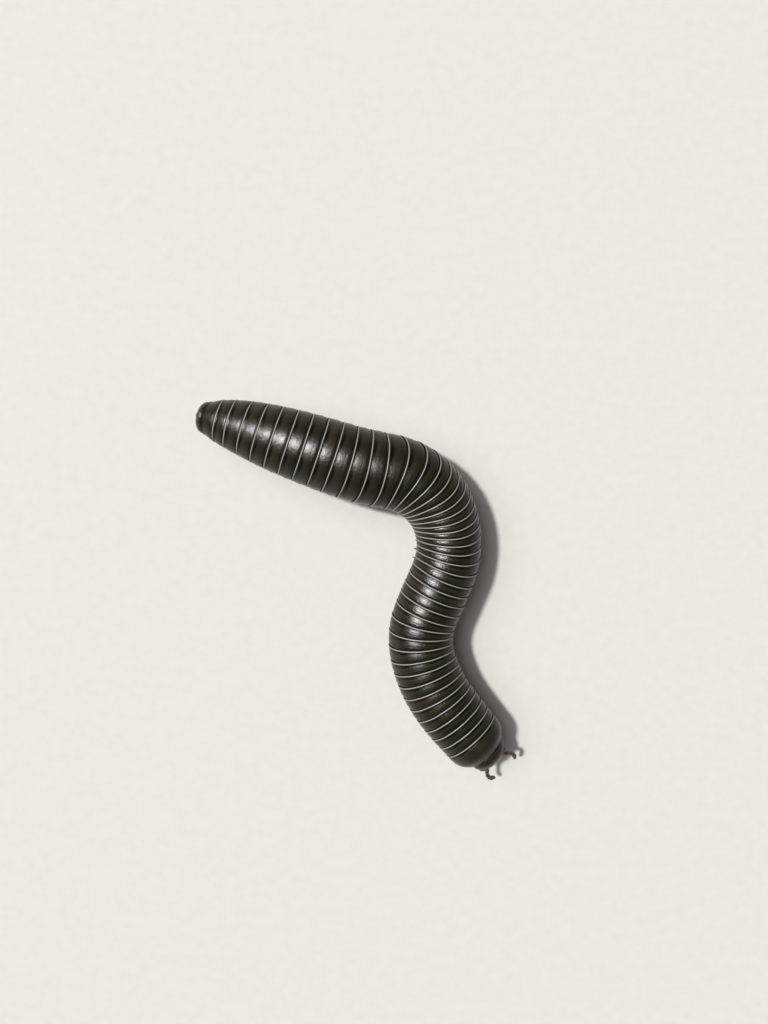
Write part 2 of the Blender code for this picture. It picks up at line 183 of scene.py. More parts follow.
def surface_at(station, angle, share=1.0):
    """Points round the body, in mm. Angle 0 is its left side and a quarter turn is its top."""
    base, _, left = axis_at(station)
    width = half_width(station) * share
    rise = np.sin(angle) * width * HEIGHT_SHARE
    rise = np.where(rise < 0, rise * BELLY_FLATNESS, rise)
    point = base + left * (np.cos(angle) * width)[..., None]
    point[..., 2] = axis_height(station) + rise
    return point


print("half width at mid body", round(float(half_width(25.0)), 2), "mm")

# %% [markdown]
# ## Where the rings meet
#
# Each ring ends behind in a free margin that slides over the next one. The margins stand closer
# where the body bends, because the rings there have slid into one another like a telescope.

# %% Margins of the rings
FIRST_MARGIN = 1.65
TAIL_PITCH = 1.85
STRAIGHT_PITCH = 2.27
FRONT_PITCH = 1.57
PITCH_CHANGE = (29.0, 35.0)
BEND_STATION = 39.5
BEND_CLOSING = 0.45
BEND_SPREAD = 5.5
RING_COUNT = 43
SINGLE_PAIR_RINGS = 3
LEGLESS_RINGS = 2
RINGS_PER_LENGTH = 4


def ring_pitch(station):
    """The distance in mm from one margin to the next, less where rings have slid together."""
    if station < FIRST_MARGIN + 2 * TAIL_PITCH:
        return TAIL_PITCH
    spread = (STRAIGHT_PITCH - FRONT_PITCH) * float(smooth_step(*PITCH_CHANGE, station))
    closing = BEND_CLOSING * math.exp(-(((station - BEND_STATION) / BEND_SPREAD) ** 2))
    return STRAIGHT_PITCH - spread - closing


MARGINS = [FIRST_MARGIN]
for _ in range(RING_COUNT + 1):
    first_guess = ring_pitch(MARGINS[-1])
    MARGINS.append(MARGINS[-1] + ring_pitch(MARGINS[-1] + first_guess / 2))

# The solids' lengths of trunk, counted from the neck: each takes a few rings
LENGTHS = []
last = RING_COUNT + 1
first = last - SINGLE_PAIR_RINGS
while last > 1:
    LENGTHS.append((f"trunk_{len(LENGTHS) + 1:02d}", first, last))
    last = first
    first = max(1, first - RINGS_PER_LENGTH)
print(len(MARGINS), "margins,", len(LENGTHS), "lengths of trunk")

# %% [markdown]
# ## Small tools
#
# Blender's operators act on whatever is selected, so a primitive is always added after
# everything is deselected. Forms that repeat, such as a ring, a leg or a bristle, are drawn
# once at 1000 : 1, one unit to the millimetre, and each copy is then laid on the body by moving
# its points.

# %% Adding, turning, laying and joining
def fresh(name, add, **settings):
    """Adds a primitive with one of Blender's operators and names it."""
    bpy.ops.object.select_all(action="DESELECT")
    add(**settings)
    made = bpy.context.object
    made.name = name
    made.data.name = name
    return made


def turned(name, profile, sides, fill="NGON"):
    """A form turned round X, as on a lathe: a circle extruded and resized from point to point.

    With fill NGON it is solid. With fill NOTHING it is a tube whose last ring meets its first.
    """
    along, radius = profile[0]
    form = fresh(
        name, bpy.ops.mesh.primitive_circle_add, vertices=sides, radius=radius, fill_type=fill,
        location=(along, 0, 0), rotation=(0, math.pi / 2, 0),
    )
    bpy.ops.object.transform_apply(location=True, rotation=True, scale=True)
    bpy.ops.object.mode_set(mode="EDIT")
    bpy.ops.mesh.select_all(action="SELECT")
    solid = fill == "NGON"
    extrude = bpy.ops.mesh.extrude_region_move if solid else bpy.ops.mesh.extrude_edges_move
    for next_along, next_radius in profile[1:]:
        extrude(TRANSFORM_OT_translate={"value": (next_along - along, 0, 0)})
        ratio = next_radius / radius
        bpy.ops.transform.resize(value=(1, ratio, ratio), center_override=(next_along, 0, 0))
        along, radius = next_along, next_radius
    if not solid:
        bpy.ops.mesh.select_all(action="DESELECT")
        bpy.ops.mesh.select_non_manifold()
        bpy.ops.mesh.bridge_edge_loops()
    bpy.ops.mesh.select_all(action="SELECT")
    bpy.ops.mesh.normals_make_consistent(inside=False)
    bpy.ops.object.mode_set(mode="OBJECT")
    return form


def edit_whole(*steps):
    """Takes each step, an operator and its settings, in edit mode with the whole mesh selected."""
    bpy.ops.object.mode_set(mode="EDIT")
    for operator, settings in steps:
        bpy.ops.mesh.select_all(action="SELECT")
        operator(**settings)
    bpy.ops.object.mode_set(mode="OBJECT")


def points_of(obj):
    """The points of a mesh, one row each."""
    flat = np.empty(len(obj.data.vertices) * 3)
    obj.data.vertices.foreach_get("co", flat)
    return flat.reshape(-1, 3)


def move_points(obj, points):
    """Moves every point of a mesh, in the order of its points."""
    obj.data.vertices.foreach_set("co", np.ascontiguousarray(points, dtype=np.float64).ravel())
    obj.data.update()


def tag(obj, name, values):
    """Stores one number for each point of a mesh, which a finish can read."""
    layer = obj.data.attributes.get(name) or obj.data.attributes.new(name, "FLOAT", "POINT")
    for_each_point = np.broadcast_to(values, len(obj.data.vertices))
    layer.data.foreach_set("value", for_each_point.astype(np.float32))


def copy_of(master, name, points):
    """A copy of a master with its own mesh, laid at points given in mm."""
    copy = bpy.data.objects.new(name, master.data.copy())
    bpy.context.scene.collection.objects.link(copy)
    move_points(copy, points * MM)
    return copy


def joined(name, parts):
    """Joins objects into the first of them and names it."""
    bpy.ops.object.select_all(action="DESELECT")
    for part in parts:
        part.select_set(True)
    bpy.context.view_layer.objects.active = parts[0]
    bpy.ops.object.join()
    whole = bpy.context.object
    whole.name = name
    whole.data.name = name
    return whole


def paint(obj, material):
    """Gives a mesh one finish and smooth shading."""
    obj.data.materials.clear()
    obj.data.materials.append(material)
    obj.data.shade_smooth()


def stroke(distance, width, depth):
    """A groove or ridge that fades with distance, as a sculptor's brush does."""
    return depth * np.exp(-((distance / width) ** 2))


def matrix_of(across, side, outward, point):
    """A placing matrix from its three directions and its point."""
    placed = Matrix((across, side, outward)).transposed().to_4x4()
    placed.translation = point
    return placed


def through(matrix, points):
    """Points through a matrix, in mm."""
    return points @ np.array(matrix.to_3x3()).T + np.array(matrix.translation)


def set_on_body(piece, slot, *nodes):
    """Fixes a finished piece to the model, in place of its plain solids."""
    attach(piece, "root")
    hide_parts(*nodes)
    print(piece.name, len(piece.data.polygons), "faces for", ", ".join(nodes))


print("tools ready, for sides", [side_name for _, side_name in SIDES])

# %% [markdown]
# ## Finishes
#
# A millipede's shell is chitin hardened with chalk: near black with an olive cast, half glossy,
# and covered with pits too fine to count. It never looks like paint, because light catches each
# pit apart. One function adds a node, a few more add those that come often, and each finish
# below is built from them.

# %% Colours and nodes
def linear(hex_text):
    """An sRGB hex colour as Blender's linear values."""
    values = [int(hex_text[i:i + 2], 16) / 255 for i in (1, 3, 5)]
    red, green, blue = (v / 12.92 if v <= 0.04045 else ((v + 0.055) / 1.055) ** 2.4 for v in values)
    return red, green, blue, 1.0


def fill(tree, node, inputs):
    """Fills a node's inputs with values or links."""
    for name, value in inputs.items():
        if isinstance(value, bpy.types.NodeSocket):
            tree.links.new(value, node.inputs[name])
        else:
            node.inputs[name].default_value = value


def add_node(tree, kind, inputs=None, stops=None, **settings):
    """Adds a node, sets its options, fills its inputs with values or links, and sets ramp stops."""
    node = tree.nodes.new(kind)
    for name, value in settings.items():
        setattr(node, name, value)
    fill(tree, node, inputs or {})
    if stops:
        ramp = node.color_ramp
        while len(ramp.elements) < len(stops):
            ramp.elements.new(0.5)
        for element, (place, color) in zip(ramp.elements, stops):
            element.position = place
            element.color = linear(color) if isinstance(color, str) else (color, color, color, 1.0)
    return node


def new_finish(name):
    """An empty material, its node tree, its shader and the object coordinates."""
    material = bpy.data.materials.new(name)
    material.use_nodes = True
    tree = material.node_tree
    shader = tree.nodes["Principled BSDF"]
    place = add_node(tree, "ShaderNodeTexCoord").outputs["Object"]
    return material, tree, shader, place


def per_mm(size):
    """The scale of a pattern whose features are this many millimetres across."""
    return 1 / (size * MM)


def noise(tree, place, size, detail):
    """Soft clouds from 0 to 1, with features this many millimetres across."""
    inputs = {"Vector": place, "Scale": per_mm(size), "Detail": detail}
    return add_node(tree, "ShaderNodeTexNoise", inputs).outputs["Fac"]


def stored(tree, name):
    """The number that tag stored on the points of a mesh."""
    return add_node(tree, "ShaderNodeAttribute", attribute_name=name).outputs["Fac"]


def ramp(tree, value, stops):
    """A value turned into a colour or a shade by a ramp."""
    return add_node(tree, "ShaderNodeValToRGB", {"Fac": value}, stops=stops).outputs["Color"]


def spanned(tree, value, start=0.0, end=1.0, low=0.0, high=1.0, **settings):
    """A value as low at the start and high at the end, and no further."""
    inputs = {"Value": value, "From Min": start, "From Max": end, "To Min": low, "To Max": high}
    return add_node(tree, "ShaderNodeMapRange", inputs, **settings).outputs["Result"]


def mixed(tree, share, first, second, blend="MIX"):
    """One colour mixed into another, or blended in another way."""
    inputs = {0: share, 6: first, 7: second}
    return add_node(tree, "ShaderNodeMix", inputs, data_type="RGBA", blend_type=blend).outputs[2]


def bumped(tree, height, strength, depth):
    """The direction of a surface with this relief, its depth given in mm."""
    inputs = {"Height": height, "Strength": strength, "Distance": depth * MM}
    return add_node(tree, "ShaderNodeBump", inputs).outputs["Normal"]


print("black shell in linear light:", [round(v, 3) for v in linear("#2B2822")[:3]])

# %% [markdown]
# ## The shell finish
#
# Three scales make the shell: clouds of olive and brown a few millimetres wide, brown low on the
# flanks and at the tail, and pits. The real pits are finer than a picture of the whole animal
# can show, so they are drawn about a third of a millimetre apart. Bands that run round each
# ring, such as its pale horny margin and the painted shade in the grooves beside it and towards
# the neck, follow a number stored on the ring's points, because a band has to bend with its
# ring. The fine grooves low on the flanks run along the body.
#
# The shell is grown, not moulded, and rubbed smooth by sand. So the eye gets a clear shine on
# the crest of each ring, broken up by the pits, and no shine in the groove behind each margin,
# where dust stays.

# %% Chalky chitin of the rings, head and shield
PIT_SPACING = 0.36
PIT_WIDTH = 0.5  # of the spacing
PIT_DEPTH = 0.017
CLOUD_SIZE = 4.0
GRAIN_SIZE = 0.07
FLANK_GROOVES = 120
GROOVE_HEIGHTS = (6.2, 4.6)  # the grooves show below the first and are full below the second
BROWN_HEIGHTS = (6.5, 2.0)  # so does the brown
TAIL_BROWN_REACH = 8.0
TAIL_MIDDLE = (*TAIL_TIP, 6.0)
CHITIN_IOR = 1.54
SHELL_SPECULAR = 0.2
SHELL_ROUGHNESS = (0.2, 0.26)
DUSTY_ROUGHNESS = 0.75
BLACK_CHITIN = ((0.3, "#13100A"), (0.52, "#18150D"), (0.75, "#1F1C11"))
BROWN_CHITIN = "#281A0C"
MARGIN_AND_PAINTED_SHADE_COLORS = (  # painted shade in the groove behind, pale horn, painted shade in the groove in front
    (0.0, "#0A0907"), (0.05, "#16130E"), (0.078, "#5A574F"), (0.11, "#716D64"),
    (0.145, "#605D54"), (0.18, "#211E19"), (0.235, "#060605"), (0.33, "#121212"),
)
BARREL_SEAM_AND_PAINTED_SHADE = (  # how much of the shell's own colour is left: painted shade next to the groove in front of the margin, a darker line at the seam, and painted shade towards the neck that slides under the ring in front
    (0.38, "#A0A0A0"), (0.46, "#FFFFFF"), (0.58, "#E8E8E8"), (0.6, "#A8A8A8"),
    (0.63, "#E0E0E0"), (0.76, "#BCBCBC"), (0.86, "#7A7A7A"), (0.93, "#101010"),
)
# Up to here the ramp's own colour, pale horn and painted groove shade, stands in place of the shell's
MARGIN_AND_SHADE_ENDS = ((0.25, 1.0), (0.275, 0.0))
DUSTY_BANDS = ((0.04, 1.0), (0.07, 0.2), (0.165, 0.2), (0.22, 0.0), (0.82, 0.0), (0.9, 1.0))
GROOVED_BAND = ((0.33, 0.0), (0.38, 1.0), (0.5, 1.0), (0.58, 0.0))


def band_nodes(tree, color, rough, relief, height):
    """Adds what runs round a ring: its margin with painted shade in the grooves beside it and towards
    its neck, its dusty grooves and its flank grooves.
    """
    band = stored(tree, "band")
    bands, dusty, margin_and_shade_mask, grooved = (
        ramp(tree, band, stops)
        for stops in (MARGIN_AND_PAINTED_SHADE_COLORS + BARREL_SEAM_AND_PAINTED_SHADE, DUSTY_BANDS, MARGIN_AND_SHADE_ENDS, GROOVED_BAND)
    )
    rough = add_node(
        tree, "ShaderNodeMix", {0: dusty, 2: rough, 3: DUSTY_ROUGHNESS}, data_type="FLOAT",
    ).outputs[0]
    # The margin and its grooves take the ramp's colour, pale horn and painted shade; elsewhere the ramp
    # darkens the shell with painted shade next to the groove and towards the neck
    color = mixed(tree, margin_and_shade_mask, mixed(tree, 1.0, color, bands, "MULTIPLY"), bands)
    around = stored(tree, "around")
    low = spanned(tree, height, GROOVE_HEIGHTS[0] * MM, GROOVE_HEIGHTS[1] * MM)
    turns = 2 * math.pi * FLANK_GROOVES
    for operation, inputs in (
        ("MULTIPLY", {1: turns}), ("SINE", {}), ("MULTIPLY", {1: low}), ("MULTIPLY", {1: grooved}),
        ("ADD", {1: relief}),
    ):
        around = add_node(
            tree, "ShaderNodeMath", {0: around, **inputs}, operation=operation,
        ).outputs["Value"]
    return color, rough, around


def shell_finish(name, banded, brown_share):
    """Chitin hardened with chalk: near black, brown where it is thin, half glossy and pitted."""
    material, tree, shader, place = new_finish(name)
    clouds = noise(tree, place, CLOUD_SIZE, 5.0)
    color = ramp(tree, clouds, BLACK_CHITIN)
    height = add_node(tree, "ShaderNodeSeparateXYZ", {"Vector": place}).outputs["Z"]
    low = spanned(tree, height, BROWN_HEIGHTS[0] * MM, BROWN_HEIGHTS[1] * MM)
    tail = add_node(
        tree, "ShaderNodeVectorMath", {0: place, 1: Vector(TAIL_MIDDLE) * MM}, operation="DISTANCE",
    ).outputs["Value"]
    warm = spanned(tree, tail, TAIL_BROWN_REACH * MM, 0.0)
    for operation, value in (("MAXIMUM", low), ("MULTIPLY", clouds), ("MULTIPLY", brown_share)):
        warm = add_node(
            tree, "ShaderNodeMath", {0: warm, 1: value}, operation=operation,
        ).outputs["Value"]
    color = mixed(tree, warm, color, linear(BROWN_CHITIN))

    pits = add_node(
        tree, "ShaderNodeTexVoronoi", {"Vector": place, "Scale": per_mm(PIT_SPACING)},
    ).outputs["Distance"]
    pits = spanned(tree, pits, end=PIT_WIDTH, interpolation_type="SMOOTHSTEP")
    grain = noise(tree, place, GRAIN_SIZE, 3.0)
    relief = add_node(tree, "ShaderNodeMath", {0: pits, 1: grain}, operation="ADD").outputs["Value"]
    rough = spanned(tree, clouds, low=SHELL_ROUGHNESS[0], high=SHELL_ROUGHNESS[1])
    if banded:
        color, rough, relief = band_nodes(tree, color, rough, relief, height)
    fill(tree, shader, {
        "Base Color": color, "Roughness": rough, "IOR": CHITIN_IOR,
        "Specular IOR Level": SHELL_SPECULAR, "Normal": bumped(tree, relief, 1.0, PIT_DEPTH),
    })
    return material


RING_SHELL = shell_finish("banded_chitin_shell", True, 0.9)
PLAIN_SHELL = shell_finish("plain_chitin_shell", False, 0.5)
BROWN_SHELL = shell_finish("brown_chitin_shell", False, 1.2)
print("shell finishes:", RING_SHELL.name, PLAIN_SHELL.name, BROWN_SHELL.name)

# %% [markdown]
# ## Finishes of the soft and glossy parts
#
# Legs and feelers are thin chitin over dark flesh: smooth, glossier than the rings and brown
# where the light comes through, with pale skin at each joint. The lenses of the eye are clear
# domes over black. Bristles are hollow hairs of clear chitin, which look amber. The skin of the
# neck is leathery, so it barely shines.

# %% Legs, feelers, lenses, bristles and joint skin
LIMB_CLOUD_SIZE = 0.8
LIMB_GRAIN_SIZE = 0.06
LIMB_GRAIN_DEPTH = 0.006
LIMB_GRAIN_STRENGTH = 0.4
LENS_CLOUD_SIZE = 0.3


def limb_finish(name, dark, light, joint, roughness):
    """Thin chitin that turns to pale skin where the stored joint number nears 1."""
    material, tree, shader, place = new_finish(name)
    clouds = noise(tree, place, LIMB_CLOUD_SIZE, 4.0)
    color = ramp(tree, clouds, ((0.35, dark), (0.7, light)))
    color = mixed(tree, stored(tree, "joint"), color, linear(joint))
    grain = noise(tree, place, LIMB_GRAIN_SIZE, 2.0)
    fill(tree, shader, {
        "Base Color": color, "Roughness": roughness, "IOR": CHITIN_IOR,
        "Normal": bumped(tree, grain, LIMB_GRAIN_STRENGTH, LIMB_GRAIN_DEPTH),
    })
    return material


def lens_finish():
    """Clear lenses over black pigment: a deep black under a smooth clear coat."""
    material, tree, shader, place = new_finish("black_eye_lenses")
    color = ramp(tree, noise(tree, place, LENS_CLOUD_SIZE, 2.0), ((0.3, "#060607"), (0.7, "#14120F")))
    fill(tree, shader, {
        "Base Color": color, "Roughness": 0.22, "Coat Weight": 0.35, "Coat Roughness": 0.08,
    })
    return material


LEG_CHITIN = limb_finish("glossy_leg_chitin", "#120D09", "#26180D", "#3E2D1C", 0.22)
FEELER_CHITIN = limb_finish("satin_feeler_chitin", "#150F0A", "#2A1A0D", "#5A4730", 0.34)
BRISTLE = limb_finish("amber_bristle", "#6E4A20", "#8F6A34", "#8F6A34", 0.4)
JOINT_SKIN = limb_finish("wrinkled_neck_skin", "#231B12", "#33291B", "#33291B", 0.5)
EYE_LENSES = lens_finish()
print("limb finishes ready")

# %% [markdown]
# ## One ring
#
# A ring is a short tube. From behind forward it has a rounded pale lip, a shallow groove painted
# with shade, a gently swollen barrel, a fine seam, and a neck painted with shade that slides
# under the ring in front. It is drawn once as a circle extruded along that profile, with its
# inner wall, and closed by a bridge.

# %% Turn the master ring
RING_SIDES = 96
LIP = 0.22
BARREL_START = LIP
BARREL_END = LIP + 1.0
RING_PROFILE = (  # along, share of the body's radius, band
    (0.1, 0.967, 0.0),
    (0.02, 0.969, 0.0),
    (-0.02, 0.978, 0.02),
    (-0.03, 0.988, 0.04),
    (-0.01, 0.9965, 0.07),
    (0.04, 1.0012, 0.11),
    (0.1, 1.0015, 0.15),
    (0.16, 0.998, 0.19),
    (LIP, 0.993, 0.24),
    (LIP + 0.05, 0.991, 0.28),
    (LIP + 0.1, 0.992, 0.32),
    (LIP + 0.17, 0.9948, 0.37),
    (LIP + 0.28, 0.9972, 0.44),
    (LIP + 0.42, 0.9985, 0.52),
    (LIP + 0.55, 0.9975, 0.57),
    (LIP + 0.58, 0.9962, 0.6),
    (LIP + 0.61, 0.9968, 0.63),
    (LIP + 0.74, 0.993, 0.74),
    (LIP + 0.87, 0.987, 0.84),
    (LIP + 0.94, 0.97, 0.93),
    (BARREL_END + 0.02, 0.948, 1.0),
    (BARREL_END + 0.45, 0.94, 1.0),
    (BARREL_END + 0.5, 0.925, 1.0),
    (BARREL_END + 0.4, 0.912, 1.0),
    (LIP + 0.5, 0.925, 1.0),
    (0.25, 0.945, 0.0),
)

ring_outline = [(along, share) for along, share, _ in RING_PROFILE]
master_ring = turned("master_ring", ring_outline, RING_SIDES, "NOTHING")
paint(master_ring, RING_SHELL)
ring_points = points_of(master_ring)
RING_ALONG = ring_points[:, 0]
RING_ANGLE = np.arctan2(ring_points[:, 2], ring_points[:, 1])
RING_SHARE = np.hypot(ring_points[:, 1], ring_points[:, 2])
profile = np.array(RING_PROFILE)
nearest = np.hypot(
    RING_ALONG[:, None] - profile[None, :, 0], RING_SHARE[:, None] - profile[None, :, 1],
).argmin(axis=1)
RING_BAND = profile[nearest, 2]
tag(master_ring, "band", RING_BAND)
tag(master_ring, "around", ((RING_ANGLE - math.pi / 2) / (2 * math.pi)) % 1.0)
print("master ring", len(master_ring.data.polygons), "faces")

# %% [markdown]
# ## Rings laid on the body
#
# The lip of each ring keeps its width, and only the barrel stretches or shrinks to reach the
# ring in front. Where the body arches, a ring's back leans forward over its belly, so that its
# margin shows as an arc from above. No two real rings are quite alike, so each has a seeded
# wobble in its margin and a slight difference in girth.

# %% Lay a ring between two margins
rng = random.Random(44)
WOBBLE = 0.018
WOBBLE_WAVES = (2, 3, 5, 9)
WOBBLE_SHARES = (0.3, 1.0)
FULL_TURN = 6.28
GIRTH_CHANGE = 0.003
LEAN_STATIONS = (4.0, 14.0, 22.0, 30.0, 36.0, 41.0, 48.0, 60.0, 74.0)
LEANS = (0.0, 0.12, 0.16, 0.32, 0.46, 0.44, 0.24, 0.1, 0.0)


def leaning(margin, angle):
    """Stations round a margin whose back leans forward and whose belly leans back."""
    lean = np.interp(margin, LEAN_STATIONS, LEANS)
    return margin + lean * float(half_width(margin)) * HEIGHT_SHARE * np.sin(angle)


def between_margins(along, angle, share, hind, front):
    """Points in mm of a ring profile laid from its hind margin to the next margin in front."""
    hind_stations = leaning(hind, angle)
    front_stations = leaning(front, angle)
    _, hind_forward, _ = axis_at(hind_stations)
    _, front_forward, _ = axis_at(front_stations)
    behind = surface_at(hind_stations, angle, share)
    behind = behind + hind_forward * np.minimum(along, BARREL_START)[:, None]
    before = surface_at(front_stations, angle, share)
    before = before + front_forward * np.maximum(0.0, along - BARREL_END)[:, None]
    reach = np.clip((along - BARREL_START) / (BARREL_END - BARREL_START), 0.0, 1.0)[:, None]
    return behind * (1 - reach) + before * reach


def margin_wobble(angle):
    """A faint unevenness round a margin, in mm."""
    found = np.zeros_like(angle)
    for waves in WOBBLE_WAVES:
        height = WOBBLE / 2 * rng.uniform(*WOBBLE_SHARES)
        found = found + height * np.sin(waves * angle + rng.uniform(0, FULL_TURN))
    return found


LIP_FADE = np.clip(1 - (RING_ALONG - LIP), 0.0, 1.0)  # 1 at the lip, 0 a millimetre ahead of it


def lay_ring(index):
    """One ring of the trunk, with its own wobble and girth."""
    along = RING_ALONG + margin_wobble(RING_ANGLE) * LIP_FADE
    share = RING_SHARE * (1 + rng.uniform(-GIRTH_CHANGE, GIRTH_CHANGE))
    points = between_margins(along, RING_ANGLE, share, MARGINS[index], MARGINS[index + 1])
    return copy_of(master_ring, f"ring_{index}", points)


print("widest ring pitch", round(max(b - a for a, b in zip(MARGINS, MARGINS[1:])), 2), "mm")

# %% [markdown]
# ## Pores and belly plates
#
# From the sixth ring back, a defence gland opens on each flank through a pore with a raised rim.
# Underneath, each pair of legs hangs from a small plate. Both are drawn once and copied.

# %% Pores in the flanks, plates under the belly
PORE_ANGLE = math.radians(7)
PORE_PLACE = LIP + 0.5
PORE_RADIUS = 0.055
PORE_RIM = 0.026
PLATE_SIZE = (0.62, 2.5, 0.34)
PLATE_BEVEL = 0.13
BARREL_BAND = 0.45  # the band of plain shell, for what has no margin
FIRST_PORE_RING = 6
PROBE_STEP = 0.05  # mm ahead and radians round, to find which way a surface faces
PROBE_TURN = 0.01


def local_frame(point, across, outward):
    """A matrix at a point in mm, with its Z outward and its X near across."""
    outward = outward.normalized()
    across = (across - outward * across.dot(outward)).normalized()
    return matrix_of(across, outward.cross(across), outward, point)


master_pore = fresh(
    "master_pore", bpy.ops.mesh.primitive_torus_add, major_radius=PORE_RADIUS,
    minor_radius=PORE_RIM, major_segments=12, minor_segments=6,
)
master_plate = fresh("master_plate", bpy.ops.mesh.primitive_cube_add, size=1.0, scale=PLATE_SIZE)
bpy.ops.object.transform_apply(location=False, rotation=False, scale=True)
edit_whole((bpy.ops.mesh.bevel, {"offset": PLATE_BEVEL, "segments": 2}))
for master in (master_pore, master_plate):
    paint(master, RING_SHELL)
    tag(master, "band", BARREL_BAND)


def ring_point(along, angle, index):
    """One point of a ring's surface, with its outward direction, in mm."""
    places = np.array([along, along + PROBE_STEP, along])
    angles = np.array([angle, angle, angle + PROBE_TURN])
    points = between_margins(places, angles, np.ones(3), MARGINS[index], MARGINS[index + 1])
    here, ahead, round_it = (Vector(point) for point in points)
    outward = (ahead - here).cross(here - round_it).normalized()
    middle = Vector(axis_at(MARGINS[index])[0])
    middle.z = float(axis_height(MARGINS[index]))
    if outward.dot(here - middle) < 0:
        outward.negate()
    return here, ahead - here, outward


def pores(index):
    """The two pores of a ring, or none on the rings nearest the neck."""
    if RING_COUNT + 2 - index < FIRST_PORE_RING:
        return []
    found = []
    for side_name, angle in (("left", PORE_ANGLE), ("right", math.pi - PORE_ANGLE)):
        here, across, outward = ring_point(PORE_PLACE, angle, index)
        points = through(local_frame(here, across, outward), points_of(master_pore))
        found.append(copy_of(master_pore, f"pore_{index}_{side_name}", points))
    return found


print("pore and belly plate:", len(master_pore.data.polygons), len(master_plate.data.polygons), "faces")

# %% [markdown]
# ## One leg
#
# A leg has six articles and a claw. Each article is a little wider past its middle and pinched
# where it joins the next. It is turned once, straight, with one unit to an article, and bent
# later along each leg's own line. A few bristles stand on its underside.

# %% Turn the master leg
LEG_SIDES = 8
ARTICLE_RADII = (0.33, 0.295, 0.27, 0.25, 0.225, 0.185)
CLAW_PROFILE = ((6.04, 0.075), (6.3, 0.07), (6.7, 0.042), (7.0, 0.01))
ARTICLE_SHAPE = ((0.0, 0.72), (0.16, 0.92), (0.72, 1.0), (0.94, 0.9))
FOOT_NARROWING = 0.3
SKIN_REACH = 0.08  # of an article, either side of a joint
SKIN_SHARE = 0.8
BRISTLE_RADIUS = 0.022
BRISTLE_LENGTH = 0.42

leg_profile = []
for article, radius in enumerate(ARTICLE_RADII):
    for place, share in ARTICLE_SHAPE:
        narrowing = 1 - FOOT_NARROWING * place if article == len(ARTICLE_RADII) - 1 else 1.0
        leg_profile.append((article + place, radius * share * narrowing))
leg_profile.extend(CLAW_PROFILE)

master_leg = turned("master_leg", leg_profile, LEG_SIDES)
paint(master_leg, LEG_CHITIN)
leg_along = points_of(master_leg)[:, 0]
near_joint = np.clip(1 - np.abs(leg_along - np.round(leg_along)) / SKIN_REACH, 0, 1)
tag(master_leg, "joint", near_joint * (leg_along > 0.5) * SKIN_SHARE)

BRISTLE_PLACES = (  # along the leg, lean to one side
    (1.6, -0.5), (2.7, 0.3), (3.7, -0.3), (4.4, 0.5), (4.8, -0.4), (5.4, 0.3), (5.8, -0.2),
)
bristles = []
for place, lean in BRISTLE_PLACES:
    bristle = fresh(
        "bristle", bpy.ops.mesh.primitive_cone_add, vertices=3, radius1=BRISTLE_RADIUS,
        depth=BRISTLE_LENGTH, location=(place, lean * 0.25, -0.3),
        rotation=(math.pi + lean * 0.5, 0.35, 0),
    )
    bpy.ops.object.transform_apply(location=True, rotation=True, scale=True)
    paint(bristle, BRISTLE)
    bristles.append(bristle)
master_leg = joined("master_leg", [master_leg, *bristles])
LEG_POINTS = points_of(master_leg)
print("master leg", len(master_leg.data.polygons), "faces")

# %% [markdown]
# ## Legs set on their rings
#
# Most rings carry two pairs of legs, the first three one pair, and the last two none. The legs
# stand in slow waves, and where the body bends sharply those on the inner side are tucked under
# by turns so that they don't cross. Every claw ends on the floor.

# %% Line and pose of each leg
PAIR_PLACES = (0.22, 0.68)
SINGLE_PAIR_PLACE = 0.45
HIP_OFFSET = 0.55
HIP_SINK = 0.8
COXA_LENGTH_OUT = 0.25
COXA_DROP = 0.35
KNEE_SHARE = 0.55
KNEE_DROP = 0.25
REACH_BASE = 1.3
REACH_PER_WIDTH = 0.52
BEND_REACH = 0.9
REACH_WAVE = 0.3
SWING_WAVE = 0.7
PAIRS_PER_WAVE = 11
TUCKED_REACH = 1.95
LEG_ROOM = 0.62
ROOT_STEPS = 8
LEG_STEPS = 32
HALF_STEP = 0.05
PLATE_LIFT = 0.05
ARTICLE_ENDS = (0.0, 0.2, 0.38, 0.55, 0.72, 0.92, 1.0)

LEG_PAIRS = []
for index in range(1 + LEGLESS_RINGS, 1 + RING_COUNT):
    pitch = MARGINS[index + 1] - MARGINS[index]
    places = (SINGLE_PAIR_PLACE,) if index > RING_COUNT - SINGLE_PAIR_RINGS else PAIR_PLACES
    for place in places:
        LEG_PAIRS.append((MARGINS[index] + pitch * place, index, pitch / len(places)))


def leg_reach(number, station, spacing, side):
    """How far out a claw stands: less where feet crowd on the inside of the bend."""
    wave = math.cos(2 * math.pi * number / PAIRS_PER_WAVE)
    reach = REACH_BASE + REACH_PER_WIDTH * float(half_width(station)) + REACH_WAVE * wave
    inward = float(curvature(np.array(station))) * side
    if inward <= 0 or spacing * (1 - reach * inward) > LEG_ROOM:
        return reach
    if number % 2:
        return TUCKED_REACH
    return min(reach + BEND_REACH, (1 - LEG_ROOM / (2 * spacing)) / inward)


